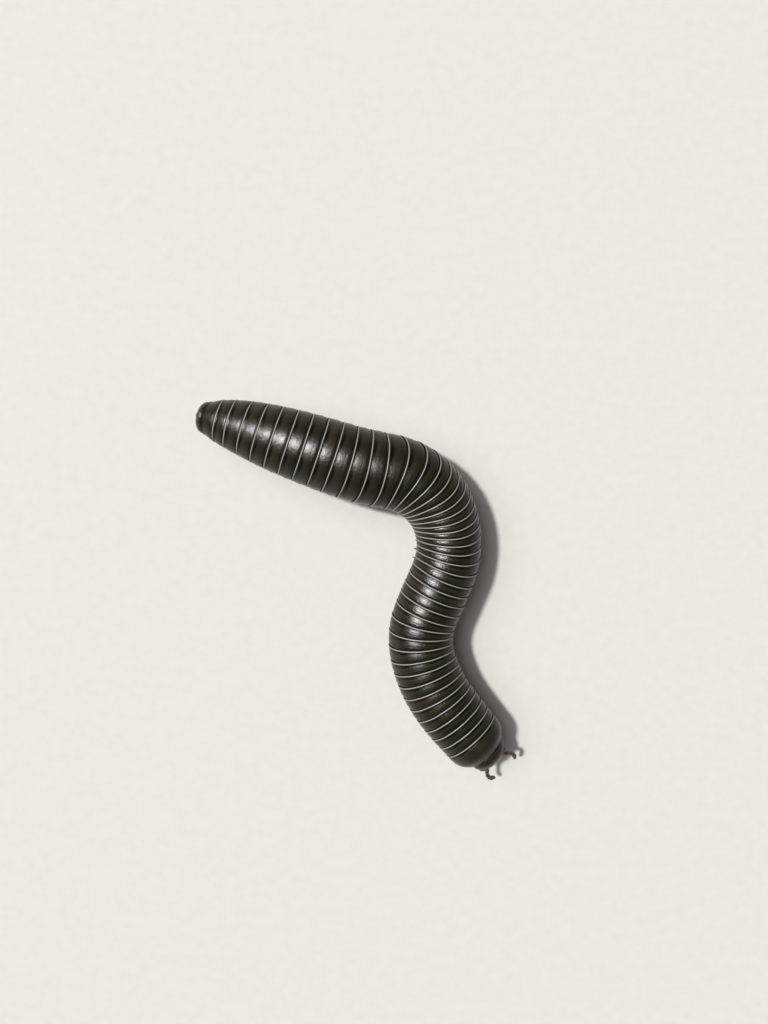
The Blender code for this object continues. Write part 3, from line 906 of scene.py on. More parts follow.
def leg_line(number, side):
    """Points along a leg in mm, from its root inside the ring to the tip of its claw."""
    station, _, spacing = LEG_PAIRS[number]
    reach = leg_reach(number, station, spacing, side)
    swing = SWING_WAVE * spacing * math.sin(2 * math.pi * number / PAIRS_PER_WAVE)
    base, forward, left = (Vector(part) for part in axis_at(station))
    belly = float(belly_height(station))
    knee_out = HIP_OFFSET + (reach - HIP_OFFSET) * KNEE_SHARE
    outline = (
        (HIP_OFFSET, belly + HIP_SINK), (HIP_OFFSET + COXA_LENGTH_OUT, belly - COXA_DROP),
        (knee_out, belly - KNEE_DROP), (reach, 0.0),
    )
    corners = []
    for out, height in outline:
        turn = swing * max(0.0, out - HIP_OFFSET) / (reach - HIP_OFFSET)
        corner = base + left * out * side + forward * turn
        corner.z = height
        corners.append(corner)
    root, hip, knee, foot = corners
    pull = knee * 2 - (hip + foot) / 2
    line = [root.lerp(hip, step / ROOT_STEPS) for step in range(ROOT_STEPS)]
    for step in range(LEG_STEPS + 1):
        share = step / LEG_STEPS
        line.append(hip * (1 - share) ** 2 + pull * 2 * share * (1 - share) + foot * share ** 2)
    return np.array(line), np.array(forward)


def lengths_along(line):
    """How far each point of a line lies from its start, in mm."""
    return np.concatenate(([0.0], np.cumsum(np.linalg.norm(np.diff(line, axis=0), axis=1))))


def on_line(line, steps, distance):
    """The points of a line at these distances from its start."""
    return np.stack([np.interp(distance, steps, line[:, axis]) for axis in range(3)], axis=-1)


def bend_leg(number, side):
    """The master leg bent along one leg's line, flat where it meets the floor."""
    line, forward = leg_line(number, side)
    steps = lengths_along(line)
    coxa = steps[ROOT_STEPS]
    ends = [0.0] + [coxa + (steps[-1] - coxa) * share for share in ARTICLE_ENDS]
    along = np.interp(LEG_POINTS[:, 0], range(len(ends)), ends)
    ahead = np.minimum(along + HALF_STEP, steps[-1])
    behind = np.maximum(ahead - 2 * HALF_STEP, 0.0)
    direction = on_line(line, steps, ahead) - on_line(line, steps, behind)
    direction /= np.linalg.norm(direction, axis=1)[:, None]
    across = forward[None, :] - direction * (direction @ forward)[:, None]
    across /= np.linalg.norm(across, axis=1)[:, None]
    upward = np.cross(direction, across) * side
    points = on_line(line, steps, along) + across * LEG_POINTS[:, 1:2] + upward * LEG_POINTS[:, 2:3]
    points[:, 2] = np.maximum(points[:, 2], 0.0)
    return copy_of(master_leg, f"leg_{number}_{side}", points)


def belly_plate(number):
    """The plate that one pair of legs hangs from."""
    station, _, _ = LEG_PAIRS[number]
    base, forward, _ = (Vector(part) for part in axis_at(station))
    base.z = float(belly_height(station)) + PLATE_LIFT
    points = through(local_frame(base, forward, UP), points_of(master_plate))
    return copy_of(master_plate, f"plate_{number}", points)


print(len(LEG_PAIRS), "pairs of legs")

# %% Build the trunk, length by length
for node, first, last in LENGTHS:
    shells = []
    legs = []
    for index in range(first, last):
        shells.append(lay_ring(index))
        shells.extend(pores(index))
    for number, (_, ring, _) in enumerate(LEG_PAIRS):
        if first <= ring < last:
            shells.append(belly_plate(number))
            legs.append(bend_leg(number, 1))
            legs.append(bend_leg(number, -1))
    set_on_body(joined(f"{node}_rings", shells), "cuticle_black", node)
    if legs:
        set_on_body(joined(f"{node}_legs", legs), "cuticle_black", node)

# %% [markdown]
# ## The shield behind the head
#
# The collum is a saddle that lies over the nape and runs down each side to a rounded lobe. It
# could be cut from a ring, but a flat grid wrapped over the neck gives its slanting lower edges
# and its rolled front rim directly. Solidify gives it its thickness.

# %% Wrap the collum
COLLAR_LENGTH = 3.4
COLLAR_CLOSING = 0.3
COLLAR_POWER = 3.5
COLLAR_SIDE_EDGE = (0.72, 0.2)
COLLAR_THICKNESS = 0.14
COLLAR_ROWS = (
    -0.03, 0.0, 0.07, 0.15, 0.22, 0.28, 0.34, 0.4, 0.48, 0.6, 0.85, 1.1, 1.35, 1.6, 1.85, 2.1, 2.3,
    2.5, 2.7, 2.85, 2.96, 3.04, 3.1, 3.16, 3.22, 3.28, 3.34, 3.38, COLLAR_LENGTH,
)
COLLAR_COLUMNS = 110
COLLAR_GIRTH = 1.3 * 4.7  # radius of the wrapped grid in mm, by its share of a half circle
COLLAR_LIP_END = 0.45
LOBE_DROP = 0.2
LOBE_DROP_REACH = 0.35
CORNER_ROUNDING = 0.3
CORNER_REACH = 1.3
LIP_FADES = ((0.2, 1.1), (0.3, 1.2))  # mm from the side edge: its relief, then its colour
FRONT_RIM = ((3.2, 0.12, 0.007), (2.92, 0.12, -0.006))  # place, width, height
SIDE_RIM = ((0.16, 0.09, 0.006), (0.42, 0.12, -0.005))
SIDE_BARE = 0.25
# The band of painted shade in the groove before a margin
PAINTED_GROOVE_SHADE_BAND = 0.235
COLLUM_MARGIN = MARGINS[-1]
LIP_ALONG, LIP_SHARE, LIP_BAND = np.array(RING_PROFILE[3:11]).T

collum = fresh(
    "collum_shield", bpy.ops.mesh.primitive_grid_add, x_subdivisions=COLLAR_COLUMNS - 1,
    y_subdivisions=len(COLLAR_ROWS) - 1, size=2.0,
)
flat = points_of(collum)
across = (flat[:, 0] + 1) / 2
row = (flat[:, 1] + 1) / 2 * (len(COLLAR_ROWS) - 1)
along = np.interp(row, range(len(COLLAR_ROWS)), COLLAR_ROWS)
from_side = np.minimum(across, 1 - across) * math.pi * COLLAR_GIRTH
progress = np.clip(along / COLLAR_LENGTH, 0.0, 1.0)
corner = CORNER_ROUNDING * progress ** 2 * np.exp(-((from_side / CORNER_REACH) ** 2))
along = np.where(along > 0, along * (1 - corner), along)


def low_edge(progress):
    """How low the shield reaches, as the sine of an angle, from its margin to its front."""
    return COLLAR_SIDE_EDGE[0] + (COLLAR_SIDE_EDGE[1] - COLLAR_SIDE_EDGE[0]) * progress


low_angle = -np.arcsin(low_edge(progress) - LOBE_DROP * np.exp(-np.maximum(along, 0) / LOBE_DROP_REACH))
angle = low_angle + (math.pi - 2 * low_angle) * across
behind = along < COLLAR_LIP_END
share = 1 - COLLAR_CLOSING * progress ** COLLAR_POWER
on_lip = behind * smooth_step(*LIP_FADES[0], from_side)
share = share + (np.interp(along, LIP_ALONG, LIP_SHARE) - share) * on_lip
share = share + sum(stroke(along - place, width, height) for place, width, height in FRONT_RIM)
share = share + sum(stroke(from_side - place, width, height) for place, width, height in SIDE_RIM)
move_points(collum, surface_at(COLLUM_MARGIN + along, angle, share) * MM)
# The shield's margin carries the rings' pale horn and painted groove shade, and fades into that painted
# shade towards its side edges
margin_band = np.interp(along, LIP_ALONG, LIP_BAND) - PAINTED_GROOVE_SHADE_BAND
margin_band = PAINTED_GROOVE_SHADE_BAND + margin_band * smooth_step(*LIP_FADES[1], from_side)
band = np.where(behind & (from_side >= SIDE_BARE), margin_band, BARREL_BAND)
tag(collum, "band", band)
tag(collum, "around", (angle - math.pi / 2) / (2 * math.pi) % 1.0)
edit_whole((bpy.ops.mesh.normals_make_consistent, {"inside": False}))
top_face = max(collum.data.polygons, key=lambda face: face.center.z)
if top_face.normal.z < 0:
    collum.data.flip_normals()
wall = collum.modifiers.new("wall", "SOLIDIFY")
wall.thickness = COLLAR_THICKNESS * MM
wall.offset = -1
bpy.ops.object.modifier_apply(modifier="wall")
paint(collum, RING_SHELL)
print("collum", len(collum.data.polygons), "faces")

# %% The soft throat below the shield
THROAT_PROFILE = (
    (0.0, 0.9), (0.4, 0.93), (1.2, 0.92), (2.0, 0.87), (2.5, 0.79), (2.8, 0.7), (3.0, 0.55),
)
THROAT_SIDES = 64
THROAT_DEPTH = 0.16
THROAT_EDGE = 0.25
THROAT_START = (0.1, 0.6)
WRINKLES = 30
WRINKLE_START = 0.2
WRINKLE_DEPTH = 0.006
throat = turned("throat", THROAT_PROFILE, THROAT_SIDES)
flat = points_of(throat)
angle = np.arctan2(flat[:, 2], flat[:, 1])
share = np.hypot(flat[:, 1], flat[:, 2])
progress = np.clip(flat[:, 0] / COLLAR_LENGTH, 0, 1)
edge = low_edge(progress)
hollow = smooth_step(*THROAT_START, progress) * smooth_step(edge, edge + THROAT_EDGE, -np.sin(angle))
share = share * (1 - THROAT_DEPTH * hollow)
wrinkled = (flat[:, 0] > WRINKLE_START) & (np.sin(angle) < 0)
share = share + WRINKLE_DEPTH * np.sin(angle * WRINKLES) * wrinkled
move_points(throat, surface_at(COLLUM_MARGIN + flat[:, 0], angle, share) * MM)
paint(throat, JOINT_SKIN)
tag(throat, "joint", 0.0)
collum = joined("collum_shield", [collum, throat])
set_on_body(collum, "cuticle_black", "collum")

# %% [markdown]
# ## The head
#
# A millipede's head is a rounded box held face down. The cube that starts it is subdivided into
# an even ball, because a ball from a cube has no poles to pinch the face. Its points then move
# along their own directions until they lie on the brow, the upper lip, the sockets and the
# seams, as in sculpting, only each stroke is a formula with a size.

# %% Place of the head
HEAD_AHEAD = 0.55
HEAD_HEIGHT = 5.25
HEAD_HALF_SIZES = np.array((1.95, 3.0, 3.1))
CHEEK_CENTRE = (-0.25, 2.05, -0.95)
CHEEK_HALF_SIZES = (1.35, 1.05, 1.45)
LIP_CENTRE = (0.55, 0.0, -2.15)
LIP_HALF_SIZES = (0.95, 1.75, 1.2)
CHIN_CENTRE = (-1.35, 0.0, -2.35)
CHIN_HALF_SIZES = (1.5, 1.35, 0.75)
EYE_DIRECTION = (0.52, 0.78, 0.36)
EYE_HALF_SIZES = (0.3, 0.7, 0.52)
EYE_SINK = 0.1
SOCKET_DIRECTION = (0.8, 0.62, 0.0)
HEAD_STATION = COLLUM_MARGIN + COLLAR_LENGTH + HEAD_AHEAD
GAP = 0.06


def upright_frame(station, height):
    """A placing matrix on the axis: X forward, Y to the left and Z up."""
    base, forward, left = (Vector(part) for part in axis_at(station))
    return matrix_of(forward, left, UP, (base.x, base.y, height))


HEAD = upright_frame(HEAD_STATION, HEAD_HEIGHT)


def mirrored(point, side):
    """A point of the left side, or its twin on the right."""
    return (point[0], point[1] * side, point[2])


def even_ball(name, level):
    """A ball of even faces with radius 1: a cube, subdivided and rounded."""
    ball = fresh(name, bpy.ops.mesh.primitive_cube_add, size=2.0)
    rounding = ball.modifiers.new("rounding", "SUBSURF")
    rounding.levels = rounding.render_levels = level
    bpy.ops.object.modifier_apply(modifier="rounding")
    points = points_of(ball)
    move_points(ball, points / np.linalg.norm(points, axis=1)[:, None])
    return ball


def ray_to_ellipsoid(rays, centre, half_sizes):
    """Near and far distance at which rays from the origin cross an ellipsoid, or nan."""
    half = np.array(half_sizes)
    scaled = rays / half
    middle = np.array(centre) / half
    a = (scaled ** 2).sum(axis=1)
    b = scaled @ middle
    c = (middle ** 2).sum() - 1
    root = np.sqrt(np.where(b * b - a * c > 0, b * b - a * c, np.nan))
    return (b - root) / a, (b + root) / a


def capsule_point(direction, side):
    """Where a direction from the head's centre leaves the plain capsule, on one side."""
    ray = Vector(mirrored(direction, side)).normalized()
    return ray / math.sqrt(sum((ray[axis] / HEAD_HALF_SIZES[axis]) ** 2 for axis in range(3)))


print("head centre", [round(v, 1) for v in HEAD.translation])

# %% Sculpt the head capsule
LIP_BLEND = 10
CROWN_SEAM = (0.07, -0.06)  # width and height, as in the next three
FACE_FURROW = (0.5, -0.05)
LIP_SEAM = (0.06, -0.05)
LIP_SWELLING = (0.16, 0.05)
LIP_NOTCH = (0.42, 0.16)  # half width at its mouth and at its floor
NOTCH_FLOOR = 2.93  # below the head's centre
SOCKET_RADII = (0.42, 0.3)
SOCKET_DEPTH = 0.4
SOCKET_RIM = (0.5, 0.13, 0.07)  # distance, width and height
EYE_RIM_SIZES = (0.8, 0.82, 0.62)
EYE_RIM = (1.08, 0.12, 0.025)


def head_radius(rays):
    """How far the capsule reaches along each ray, with the upper lip blended in."""
    capsule = 1 / np.sqrt(((rays / HEAD_HALF_SIZES) ** 2).sum(axis=1))
    _, lip = ray_to_ellipsoid(rays, LIP_CENTRE, LIP_HALF_SIZES)
    blended = (capsule ** LIP_BLEND + np.nan_to_num(lip) ** LIP_BLEND) ** (1 / LIP_BLEND)
    return capsule, blended


head = even_ball("head_capsule", 6)
rays = points_of(head)
capsule, radius = head_radius(rays)
x, y, z = (rays * capsule[:, None]).T
front = smooth_step(-0.2, 0.4, x)

# The seam down the crown, the shallow furrow of the face, then the lip's groove and swelling
radius = radius + stroke(y, *CROWN_SEAM) * smooth_step(0.2, 0.7, z)
radius = radius + stroke(y, *FACE_FURROW) * smooth_step(-0.4, 0.6, z) * front
seam_height = -1.55 + 0.12 * (y / 1.6) ** 2
lip_height = -2.15 + 0.1 * y * y
radius = radius + stroke(z - seam_height, *LIP_SEAM) * front * smooth_step(2.0, 1.6, np.abs(y))
radius = radius + stroke(z - lip_height, *LIP_SWELLING) * front * smooth_step(1.9, 1.3, np.abs(y))

# The notch in the lip, then the feeler's socket and the low rim round the eye on each side
ahead, out, _ = (rays * radius[:, None]).T
notch = smooth_step(*LIP_NOTCH, np.abs(out)) * (ahead > 0)
notch_radius = np.minimum(radius, NOTCH_FLOOR / np.maximum(-rays[:, 2], 0.2))
radius = np.where(notch > 0, radius * (1 - notch) + notch_radius * notch, radius)
for side, _ in SIDES:
    from_socket = rays * radius[:, None] - np.array(capsule_point(SOCKET_DIRECTION, side))
    away = np.linalg.norm(from_socket, axis=1)
    place, width, height = SOCKET_RIM
    radius = radius + stroke(away - place, width, height)
    radius = radius - SOCKET_DEPTH * smooth_step(*SOCKET_RADII, away)
    from_eye = rays * radius[:, None] - np.array(capsule_point(EYE_DIRECTION, side))
    place, width, height = EYE_RIM
    radius = radius + stroke(np.linalg.norm(from_eye / EYE_RIM_SIZES, axis=1) - place, width, height)

# Room for the cheeks and the chin flap, which are pieces of their own
for centre, half_sizes in (
    (CHEEK_CENTRE, CHEEK_HALF_SIZES), (mirrored(CHEEK_CENTRE, -1), CHEEK_HALF_SIZES),
    (CHIN_CENTRE, CHIN_HALF_SIZES),
):
    near, far = ray_to_ellipsoid(rays, centre, np.array(half_sizes) + GAP)
    inside = (near > 0) & (radius > near) & (radius < far)
    radius = np.where(inside, near, radius)
move_points(head, through(HEAD, rays * radius[:, None]) * MM)
paint(head, PLAIN_SHELL)
print("head capsule", len(head.data.polygons), "faces")

# %% [markdown]
# ## Teeth and bristles of the upper lip
#
# The notch in the middle of the lip holds three blunt teeth, and a row of short bristles stands
# along the lip's edge, each in its own pit.

# %% Teeth, lip bristles and brow bristles
TOOTH_SPACING = 0.16
BRISTLE_BEND = 0.25
LIP_BRISTLES = (0.15, 0.22, 0.3, 0.38, 0.46)
BROW_BRISTLES = ((-0.32, -0.45), (0.32, -0.45), (-0.12, -0.5), (0.12, -0.5))

extras = []
for number in (-1, 0, 1):
    tooth = fresh(
        "lip_tooth", bpy.ops.mesh.primitive_cone_add, vertices=8, radius1=0.1, radius2=0.03,
        depth=0.3, location=(0.95, number * TOOTH_SPACING, -2.98), rotation=(math.pi, 0.15, 0),
    )
    bpy.ops.object.transform_apply(location=True, rotation=True, scale=True)
    paint(tooth, PLAIN_SHELL)
    move_points(tooth, through(HEAD, points_of(tooth)) * MM)
    extras.append(tooth)


def bristle_master(length):
    """One bristle that stands on its Z, thin and slightly bent."""
    hair = fresh("bristle", bpy.ops.mesh.primitive_cone_add, vertices=4, radius1=0.02, depth=length)
    edit_whole(
        (bpy.ops.transform.translate, {"value": (0, 0, length / 2)}),
        (bpy.ops.mesh.subdivide, {"number_cuts": 2}),
    )
    points = points_of(hair)
    points[:, 0] += BRISTLE_BEND * points[:, 2] ** 2 / length
    move_points(hair, points)
    paint(hair, BRISTLE)
    return hair


def add_head_bristle(name, direction, across, droop):
    """A bristle where a direction from its centre leaves the head, drooping by some of each axis."""
    ray = np.array(direction, dtype=float)
    ray = (ray / np.linalg.norm(ray))[None, :]
    _, reach = head_radius(ray)
    place, outward = Vector((ray * reach[:, None])[0]), Vector(ray[0])
    matrix = HEAD @ local_frame(place, across, (outward + Vector(droop)).normalized())
    extras.append(copy_of(lip_hair, name, through(matrix, points_of(lip_hair))))


lip_hair = bristle_master(BRISTLE_LENGTH)
for spread in (*(-place for place in reversed(LIP_BRISTLES)), *LIP_BRISTLES):
    for ahead in (0.42, 0.62):
        add_head_bristle("lip_bristle", (ahead, spread, -1.0), Vector((1, 0, 0)), (0.2, 0, -0.9))
for spread, height in BROW_BRISTLES:
    add_head_bristle("brow_bristle", (1.0, spread, height), UP, (0, 0, -0.5))
bpy.data.objects.remove(lip_hair)
head = joined("head_capsule", [head, *extras])
set_on_body(head, "cuticle_black", "head")

# %% [markdown]
# ## Cheeks and chin
#
# The mandibles' bases fill the sides of the head as two smooth plates each, a small one above
# and a large one below. Underneath, the gnathochilarium is a broad flap of five plates that
# closes the mouth, with small palps along its front.

# %% Sculpt the mandible cheeks
CHEEK_SEAM = (0.07, -0.05)  # width and height
CHEEK_RIM = (0.12, 0.03)
chin_middle = np.array(CHIN_CENTRE)

for side, side_name in SIDES:
    cheek = even_ball(f"mandible_cheek_{side_name}", 5)
    local = points_of(cheek) * np.array(CHEEK_HALF_SIZES)
    from_seam = local[:, 2] - 0.35 * local[:, 0] - 0.42
    from_rim = local[:, 2] + 1.12 + 0.1 * local[:, 0]
    swell = 1 + stroke(from_seam, *CHEEK_SEAM) + stroke(from_rim, *CHEEK_RIM)
    local = local * swell[:, None] + np.array(CHEEK_CENTRE)
    depth = np.linalg.norm((local - chin_middle) / (np.array(CHIN_HALF_SIZES) + GAP), axis=1)
    pushed = chin_middle + (local - chin_middle) / depth[:, None]
    local = np.where((depth < 1)[:, None], pushed, local)
    local[:, 1] *= side
    move_points(cheek, through(HEAD, local) * MM)
    if side < 0:
        cheek.data.flip_normals()
    paint(cheek, BROWN_SHELL)
    set_on_body(cheek, "cuticle_brown", f"mandible_{side_name}")

# %% Sculpt the chin flap
CHIN_GROOVE_DEPTH = 0.09
PALPS = ((1.02, 0.92, 0.17), (1.3, 0.4, 0.14), (1.33, 0.14, 0.11))  # ahead, out, radius
PALP_HEIGHT = -0.16
PALP_SHAPE = (1.3, 0.9, 0.9)

chin = even_ball("chin_flap", 5)
local = points_of(chin) * np.array(CHIN_HALF_SIZES)
x, y, z = local.T
below = smooth_step(0.15, -0.15, z)
side_seams = stroke(np.abs(y) - 0.42 - 0.22 * (x + 0.3), 0.06, 1) * smooth_step(1.0, 0.8, x)
cross_seam = stroke(x - 0.45, 0.06, 1) * smooth_step(0.62, 0.5, np.abs(y))
front_seam = stroke(y, 0.05, 1) * smooth_step(0.4, 0.5, x)
seams = np.maximum(np.maximum(side_seams, cross_seam), front_seam)
local = local * (1 - CHIN_GROOVE_DEPTH * seams * below)[:, None]
move_points(chin, through(HEAD, local + chin_middle) * MM)
paint(chin, BROWN_SHELL)
palps = []
for side, _ in SIDES:
    for ahead, out, size in PALPS:
        palp = fresh(
            "palp", bpy.ops.mesh.primitive_uv_sphere_add, segments=12, ring_count=8, radius=size,
        )
        centre = chin_middle + (ahead, out * side, PALP_HEIGHT)
        move_points(palp, through(HEAD, points_of(palp) * PALP_SHAPE + centre) * MM)
        paint(palp, BROWN_SHELL)
        palps.append(palp)
chin = joined("chin_flap", [chin, *palps])
set_on_body(chin, "cuticle_brown", "mouth_plate")

# %% [markdown]
# ## Eyes
#
# Each eye is a field of some 45 simple lenses in rows, on a low mound beside the feeler. One
# lens is modelled as a dome and copied over a hexagonal grid cut to the field's outline.

# %% Eye fields
LENS_SPACING = 0.165
LENS_RADIUS = 0.094
LENS_SINK = 0.55  # of its radius
LENS_ROWS = range(-3, 4)
LENS_STEPS = range(-5, 6)
ROW_RISE = math.sqrt(0.75)  # of the spacing, in a hexagonal grid
FIELD_SHARE = 0.93
EYE_MOUND = 0.16

master_lens = fresh(
    "master_lens", bpy.ops.mesh.primitive_uv_sphere_add, segments=10, ring_count=6,
    radius=LENS_RADIUS,
)
paint(master_lens, EYE_LENSES)
for side, side_name in SIDES:
    place = capsule_point(EYE_DIRECTION, side)
    normal = Vector([place[axis] / HEAD_HALF_SIZES[axis] ** 2 for axis in range(3)]).normalized()
    turn = normal.to_track_quat("X", "Z").to_matrix().to_4x4()
    EYE = HEAD @ Matrix.Translation(place - normal * EYE_SINK) @ turn
    mound = even_ball(f"eye_field_{side_name}", 4)
    points = points_of(mound) * (EYE_SINK + EYE_MOUND, EYE_HALF_SIZES[1], EYE_HALF_SIZES[2])
    move_points(mound, through(EYE, points) * MM)
    paint(mound, EYE_LENSES)
    lenses = [mound]
    for line in LENS_ROWS:
        for step in LENS_STEPS:
            out = (step + 0.5 * (line % 2)) * LENS_SPACING
            up = line * LENS_SPACING * ROW_RISE
            room = (out / EYE_HALF_SIZES[1]) ** 2 + (up / EYE_HALF_SIZES[2]) ** 2
            if room > FIELD_SHARE ** 2:
                continue
            rise = (EYE_SINK + EYE_MOUND) * math.sqrt(1 - room) - LENS_RADIUS * LENS_SINK
            matrix = EYE @ Matrix.Translation((rise, out, up))
            lenses.append(copy_of(master_lens, "lens", through(matrix, points_of(master_lens))))
    field = joined(f"eye_field_{side_name}", lenses)
    set_on_body(field, "eye_black", f"eye_{side_name}")
    print("lenses in this eye:", len(lenses) - 1)

# %% [markdown]
# ## Feelers
#
# A feeler has seven articles that widen towards its end, each a small club with a pinched
# root. The last one is a button that carries four sensory cones. One club is turned and copied
# along a smooth line, and short bristles cover the outer articles.

# %% Turn the club and lay the feelers
ANTENNA_POINTS = (
    (0.0, 0.0, 0.0), (0.45, 0.75, -0.15), (1.35, 1.15, -0.75), (2.1, 1.05, -1.6), (2.55, 0.8, -2.35),
)
ANTENNA_RADII = (0.25, 0.31, 0.33, 0.34, 0.24)
ANTENNA_ROOT = 0.4
CLUB_PROFILE = (
    (0.0, 0.5), (0.04, 0.56), (0.14, 0.68), (0.35, 0.84), (0.6, 0.97), (0.78, 1.0), (0.9, 0.94),
    (0.97, 0.8), (1.0, 0.6),
)
ARTICLE_STARTS = (0.0, 0.13, 0.34, 0.5, 0.65, 0.79, 0.93, 1.0)
ARTICLE_HAIRS = (0, 5, 9, 12, 16, 20, 6)
ARTICLE_OVERLAP = 1.04
HAIR_LENGTH = 0.2
HAIR_SPREAD = 0.75
HAIR_PLACES = (0.3, 0.95)  # of the article's length
HAIR_ROOT = 0.95  # of its radius
CLUB_SIDES = 16
LINE_STEPS = 12
CONE_PLACES = ((0.06, 0.06), (-0.06, 0.06), (0.06, -0.06), (-0.06, -0.06))

master_club = turned("master_club", CLUB_PROFILE, CLUB_SIDES)
paint(master_club, FEELER_CHITIN)
CLUB_POINTS = points_of(master_club)
tag(master_club, "joint", smooth_step(0.12, 0.02, CLUB_POINTS[:, 0]) * SKIN_SHARE)
feeler_hair = bristle_master(HAIR_LENGTH)
hair_rng = random.Random(7)


def smooth_line(corners, count):
    """Points on a smooth curve through the corners, in mm."""
    corners = [corners[0] * 2 - corners[1], *corners, corners[-1] * 2 - corners[-2]]
    line = []
    for index in range(1, len(corners) - 2):
        before, start, end, after = corners[index - 1:index + 3]
        for step in range(count):
            t = step / count
            line.append(0.5 * (
                start * 2 + (end - before) * t + (before * 2 - start * 5 + end * 4 - after) * t * t
                + (start * 3 - before - end * 3 + after) * t ** 3
            ))
    line.append(corners[-2])
    return line


for side, side_name in SIDES:
    root = capsule_point(SOCKET_DIRECTION, side)
    corners = [HEAD @ (root + Vector(mirrored(step, side))) for step in ANTENNA_POINTS]
    corners.insert(0, corners[0] + (corners[0] - corners[1]).normalized() * ANTENNA_ROOT)
    line = np.array(smooth_line(corners, LINE_STEPS))
    steps = lengths_along(line)
    clubs = []
    for hairs, start, end in zip(ARTICLE_HAIRS, ARTICLE_STARTS, ARTICLE_STARTS[1:]):
        start_point = Vector(on_line(line, steps, start * steps[-1]))
        end_point = Vector(on_line(line, steps, end * steps[-1]))
        length = (end_point - start_point).length * ARTICLE_OVERLAP
        middle = (start + end) / 2
        girth = float(np.interp(middle, np.linspace(0, 1, len(ANTENNA_RADII)), ANTENNA_RADII))
        turn = (end_point - start_point).to_track_quat("X", "Z").to_matrix()
        points = (CLUB_POINTS * (length, girth, girth)) @ np.array(turn).T + np.array(start_point)
        clubs.append(copy_of(master_club, "club", points))
        for _ in range(hairs):
            share = hair_rng.uniform(*HAIR_PLACES)
            around = hair_rng.uniform(0, 2 * math.pi)
            outward = turn @ Vector((0, math.cos(around), math.sin(around)))
            ahead = turn @ Vector((1, 0, 0))
            club_radius = girth * float(np.interp(share, *zip(*CLUB_PROFILE)))
            root_point = start_point + ahead * length * share + outward * club_radius * HAIR_ROOT
            matrix = local_frame(root_point, ahead, outward * HAIR_SPREAD + ahead)
            clubs.append(copy_of(feeler_hair, "hair", through(matrix, points_of(feeler_hair))))
    for cone_out, cone_up in CONE_PLACES:
        cone = fresh(
            "sense_cone", bpy.ops.mesh.primitive_cone_add, vertices=8, radius1=0.045,
            radius2=0.015, depth=0.16, rotation=(0, math.pi / 2, 0),
        )
        bpy.ops.object.transform_apply(location=False, rotation=True, scale=True)
        points = points_of(cone) + (0.05, cone_out, cone_up)
        move_points(cone, (points @ np.array(turn).T + np.array(end_point)) * MM)
        paint(cone, BRISTLE)
        clubs.append(cone)
    set_on_body(joined(f"feeler_{side_name}", clubs), "feeler_brown", f"antenna_{side_name}")
bpy.data.objects.remove(feeler_hair)

# %% [markdown]
# ## The tail end
#
# The last ring has no legs and reaches back over the vent in a blunt point. It is laid from the
# same master as the others, with its margin drawn out above and below, and with only a faint edge
# of the shell's own colour in place of the pale lip, between lines of painted shade. Two valves
# close it like shutters, with a raised rim along the slit.

# %% Lay the tail ring
EPIPROCT_LENGTH = 0.75
HYPOPROCT_LENGTH = 0.35
OVERHANG_POWER = 4
TAIL_LIP_BANDS = (0.05, 0.17)
TAIL_EDGE_BAND = 0.5  # the shell's own colour
# Painted shade for the tail ring's groove and for the rear face of its edge
PAINTED_SHADE_BAND = 0.34

rise = np.sin(RING_ANGLE)
overhang = np.where(rise > 0, EPIPROCT_LENGTH, HYPOPROCT_LENGTH) * rise ** OVERHANG_POWER
points = between_margins(RING_ALONG, RING_ANGLE, RING_SHARE, MARGINS[0], MARGINS[1])
_, tail_forward, _ = axis_at(MARGINS[0])
points = points - tail_forward * (overhang * LIP_FADE)[:, None]
tail_ring = copy_of(master_ring, "tail_ring", points)
on_lip = (RING_BAND > TAIL_LIP_BANDS[0]) & (RING_BAND < TAIL_LIP_BANDS[1])
tail_band = np.where(on_lip, TAIL_EDGE_BAND, np.maximum(RING_BAND, PAINTED_SHADE_BAND))
tag(tail_ring, "band", tail_band)
set_on_body(tail_ring, "cuticle_brown", "preanal_ring")

# %% Cut and rim the valves
VALVE_STATION = 1.4
VALVE_HALF_SIZES = (1.4, 2.38, 2.3)
SLIT_SHARE = 0.02  # of the half size, from the middle to each valve's cut face
VALVE_RIM = (0.12, 0.14, 0.045)  # from the slit, width, height
VALVE_FURROW = (0.5, 0.2, -0.03)

TAIL = upright_frame(VALVE_STATION, float(axis_height(FIRST_MARGIN)))
for side, side_name in SIDES:
    valve = even_ball(f"tail_valve_{side_name}", 5)
    cut = {"plane_co": (0, SLIT_SHARE * side, 0), "plane_no": (0, side, 0)}
    edit_whole(
        (bpy.ops.mesh.bisect, {**cut, "use_fill": True, "clear_inner": True}),
        (bpy.ops.mesh.normals_make_consistent, {"inside": False}),
    )
    local = points_of(valve) * np.array(VALVE_HALF_SIZES)
    from_slit = np.abs(local[:, 1])
    swell = 1 + sum(
        stroke(from_slit - place, width, height) for place, width, height in (VALVE_RIM, VALVE_FURROW)
    )
    local = local * np.stack((swell, np.ones_like(swell), swell), axis=-1)
    move_points(valve, through(TAIL, local) * MM)
    paint(valve, BROWN_SHELL)
    set_on_body(valve, "cuticle_brown", f"anal_valve_{side_name}")

# %% Put the masters away
for master in (master_ring, master_pore, master_plate, master_leg, master_lens, master_club):
    bpy.data.objects.remove(master)

# %% [markdown]
# ## Floor, light and camera
#
# A museum sweep: one pale matt floor under a wide, dim sky that is brightest at the horizon. The
# key light comes from the tail's side, so that it mirrors off the top of the straight tail, where
# the real shell shines. It has a small bright core and a wide halo: the core gives the pits their
# sparkle, and the halo softens the shadows and the edge of the shine. The camera hangs straight
# above, close enough that the near parts of the body look larger.

# %% A pale floor
FLOOR_GRAIN = 1.5

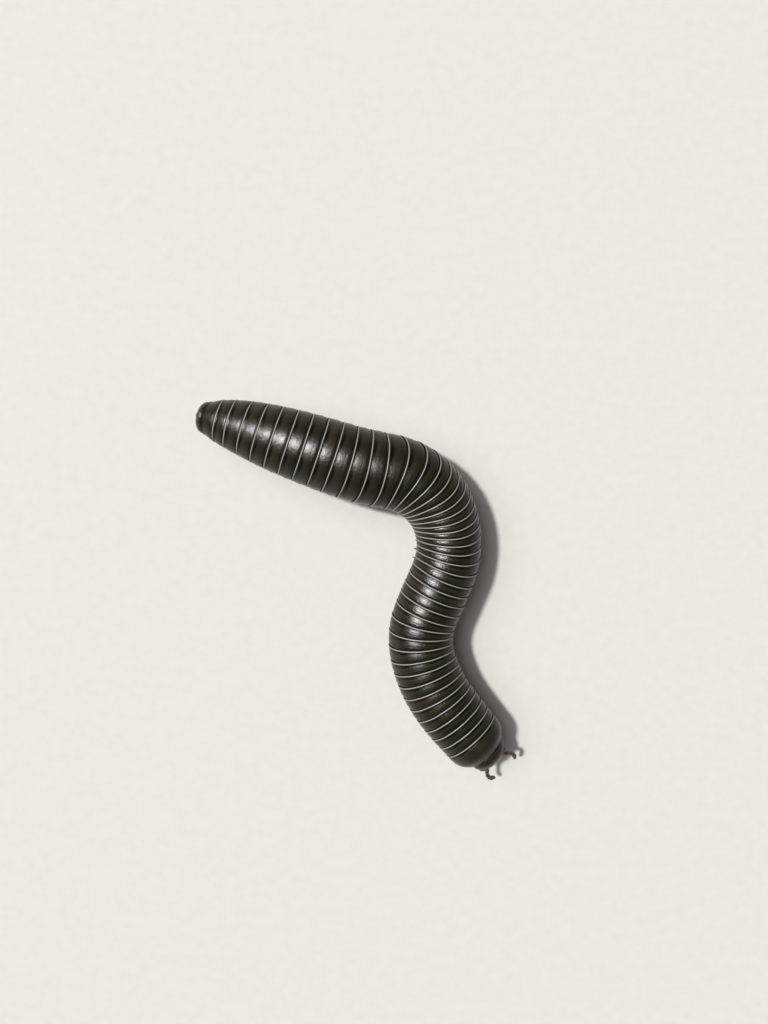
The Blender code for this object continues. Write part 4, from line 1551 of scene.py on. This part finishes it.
# Painted board under a matt varnish: it spreads the light evenly and shows no shine
floor = fresh("floor", bpy.ops.mesh.primitive_plane_add, size=3.0)
material, tree, shader, place = new_finish("matt_pale_board")
color = ramp(tree, noise(tree, place, FLOOR_GRAIN, 4.0), ((0.3, "#888682"), (0.7, "#8B8985")))
fill(tree, shader, {"Base Color": color, "Roughness": 0.85})
paint(floor, material)
floor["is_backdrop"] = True
print("floor", floor.dimensions.x, "m wide")

# %% Soft studio light
TOWARD_LIGHT = Vector((-0.43, 0.161, 0.889))
SUNS = (("key", 5, 7.5), ("key_halo", 50, 3.0))  # name, width in degrees, strength
SKY = ((0.0, "#DEDCD6"), (0.06, "#C6C4BF"), (0.2, "#9E9C99"), (0.45, "#757370"), (1.0, "#706F6C"))

for light_name, angle, strength in SUNS:
    sun = bpy.data.lights.new(light_name, "SUN")
    sun.energy = strength
    sun.angle = math.radians(angle)
    lamp = bpy.data.objects.new(light_name, sun)
    bpy.context.scene.collection.objects.link(lamp)
    lamp.rotation_euler = TOWARD_LIGHT.to_track_quat("Z", "Y").to_euler()
world = bpy.data.worlds.new("studio")
bpy.context.scene.world = world
world.use_nodes = True
tree = world.node_tree
toward = add_node(tree, "ShaderNodeTexCoord").outputs["Generated"]
height = add_node(tree, "ShaderNodeSeparateXYZ", {"Vector": toward}).outputs["Z"]
fill(tree, tree.nodes["Background"], {"Color": ramp(tree, height, SKY)})
bpy.context.scene.view_settings.view_transform = "Standard"

# %% The camera straight above
CAMERA_PLACE = (3.96, 11.96, 120.0)
camera_data = bpy.data.cameras.new("camera")
camera_data.sensor_width = 24.0
camera_data.lens = 18.02
camera_data.clip_start = 0.005
camera = bpy.data.objects.new("camera", camera_data)
bpy.context.scene.collection.objects.link(camera)
camera.location = Vector(CAMERA_PLACE) * MM
bpy.context.scene.camera = camera
print("camera", CAMERA_PLACE)

# %% Measure and finish
boxes = [[[float(v) for v in corner] for corner in box] for box in (CAD_BOX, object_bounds())]
for what, box in zip(("solids", "finished model"), boxes):
    print(what, "in mm:", [[round(v / MM, 2) for v in corner] for corner in box])
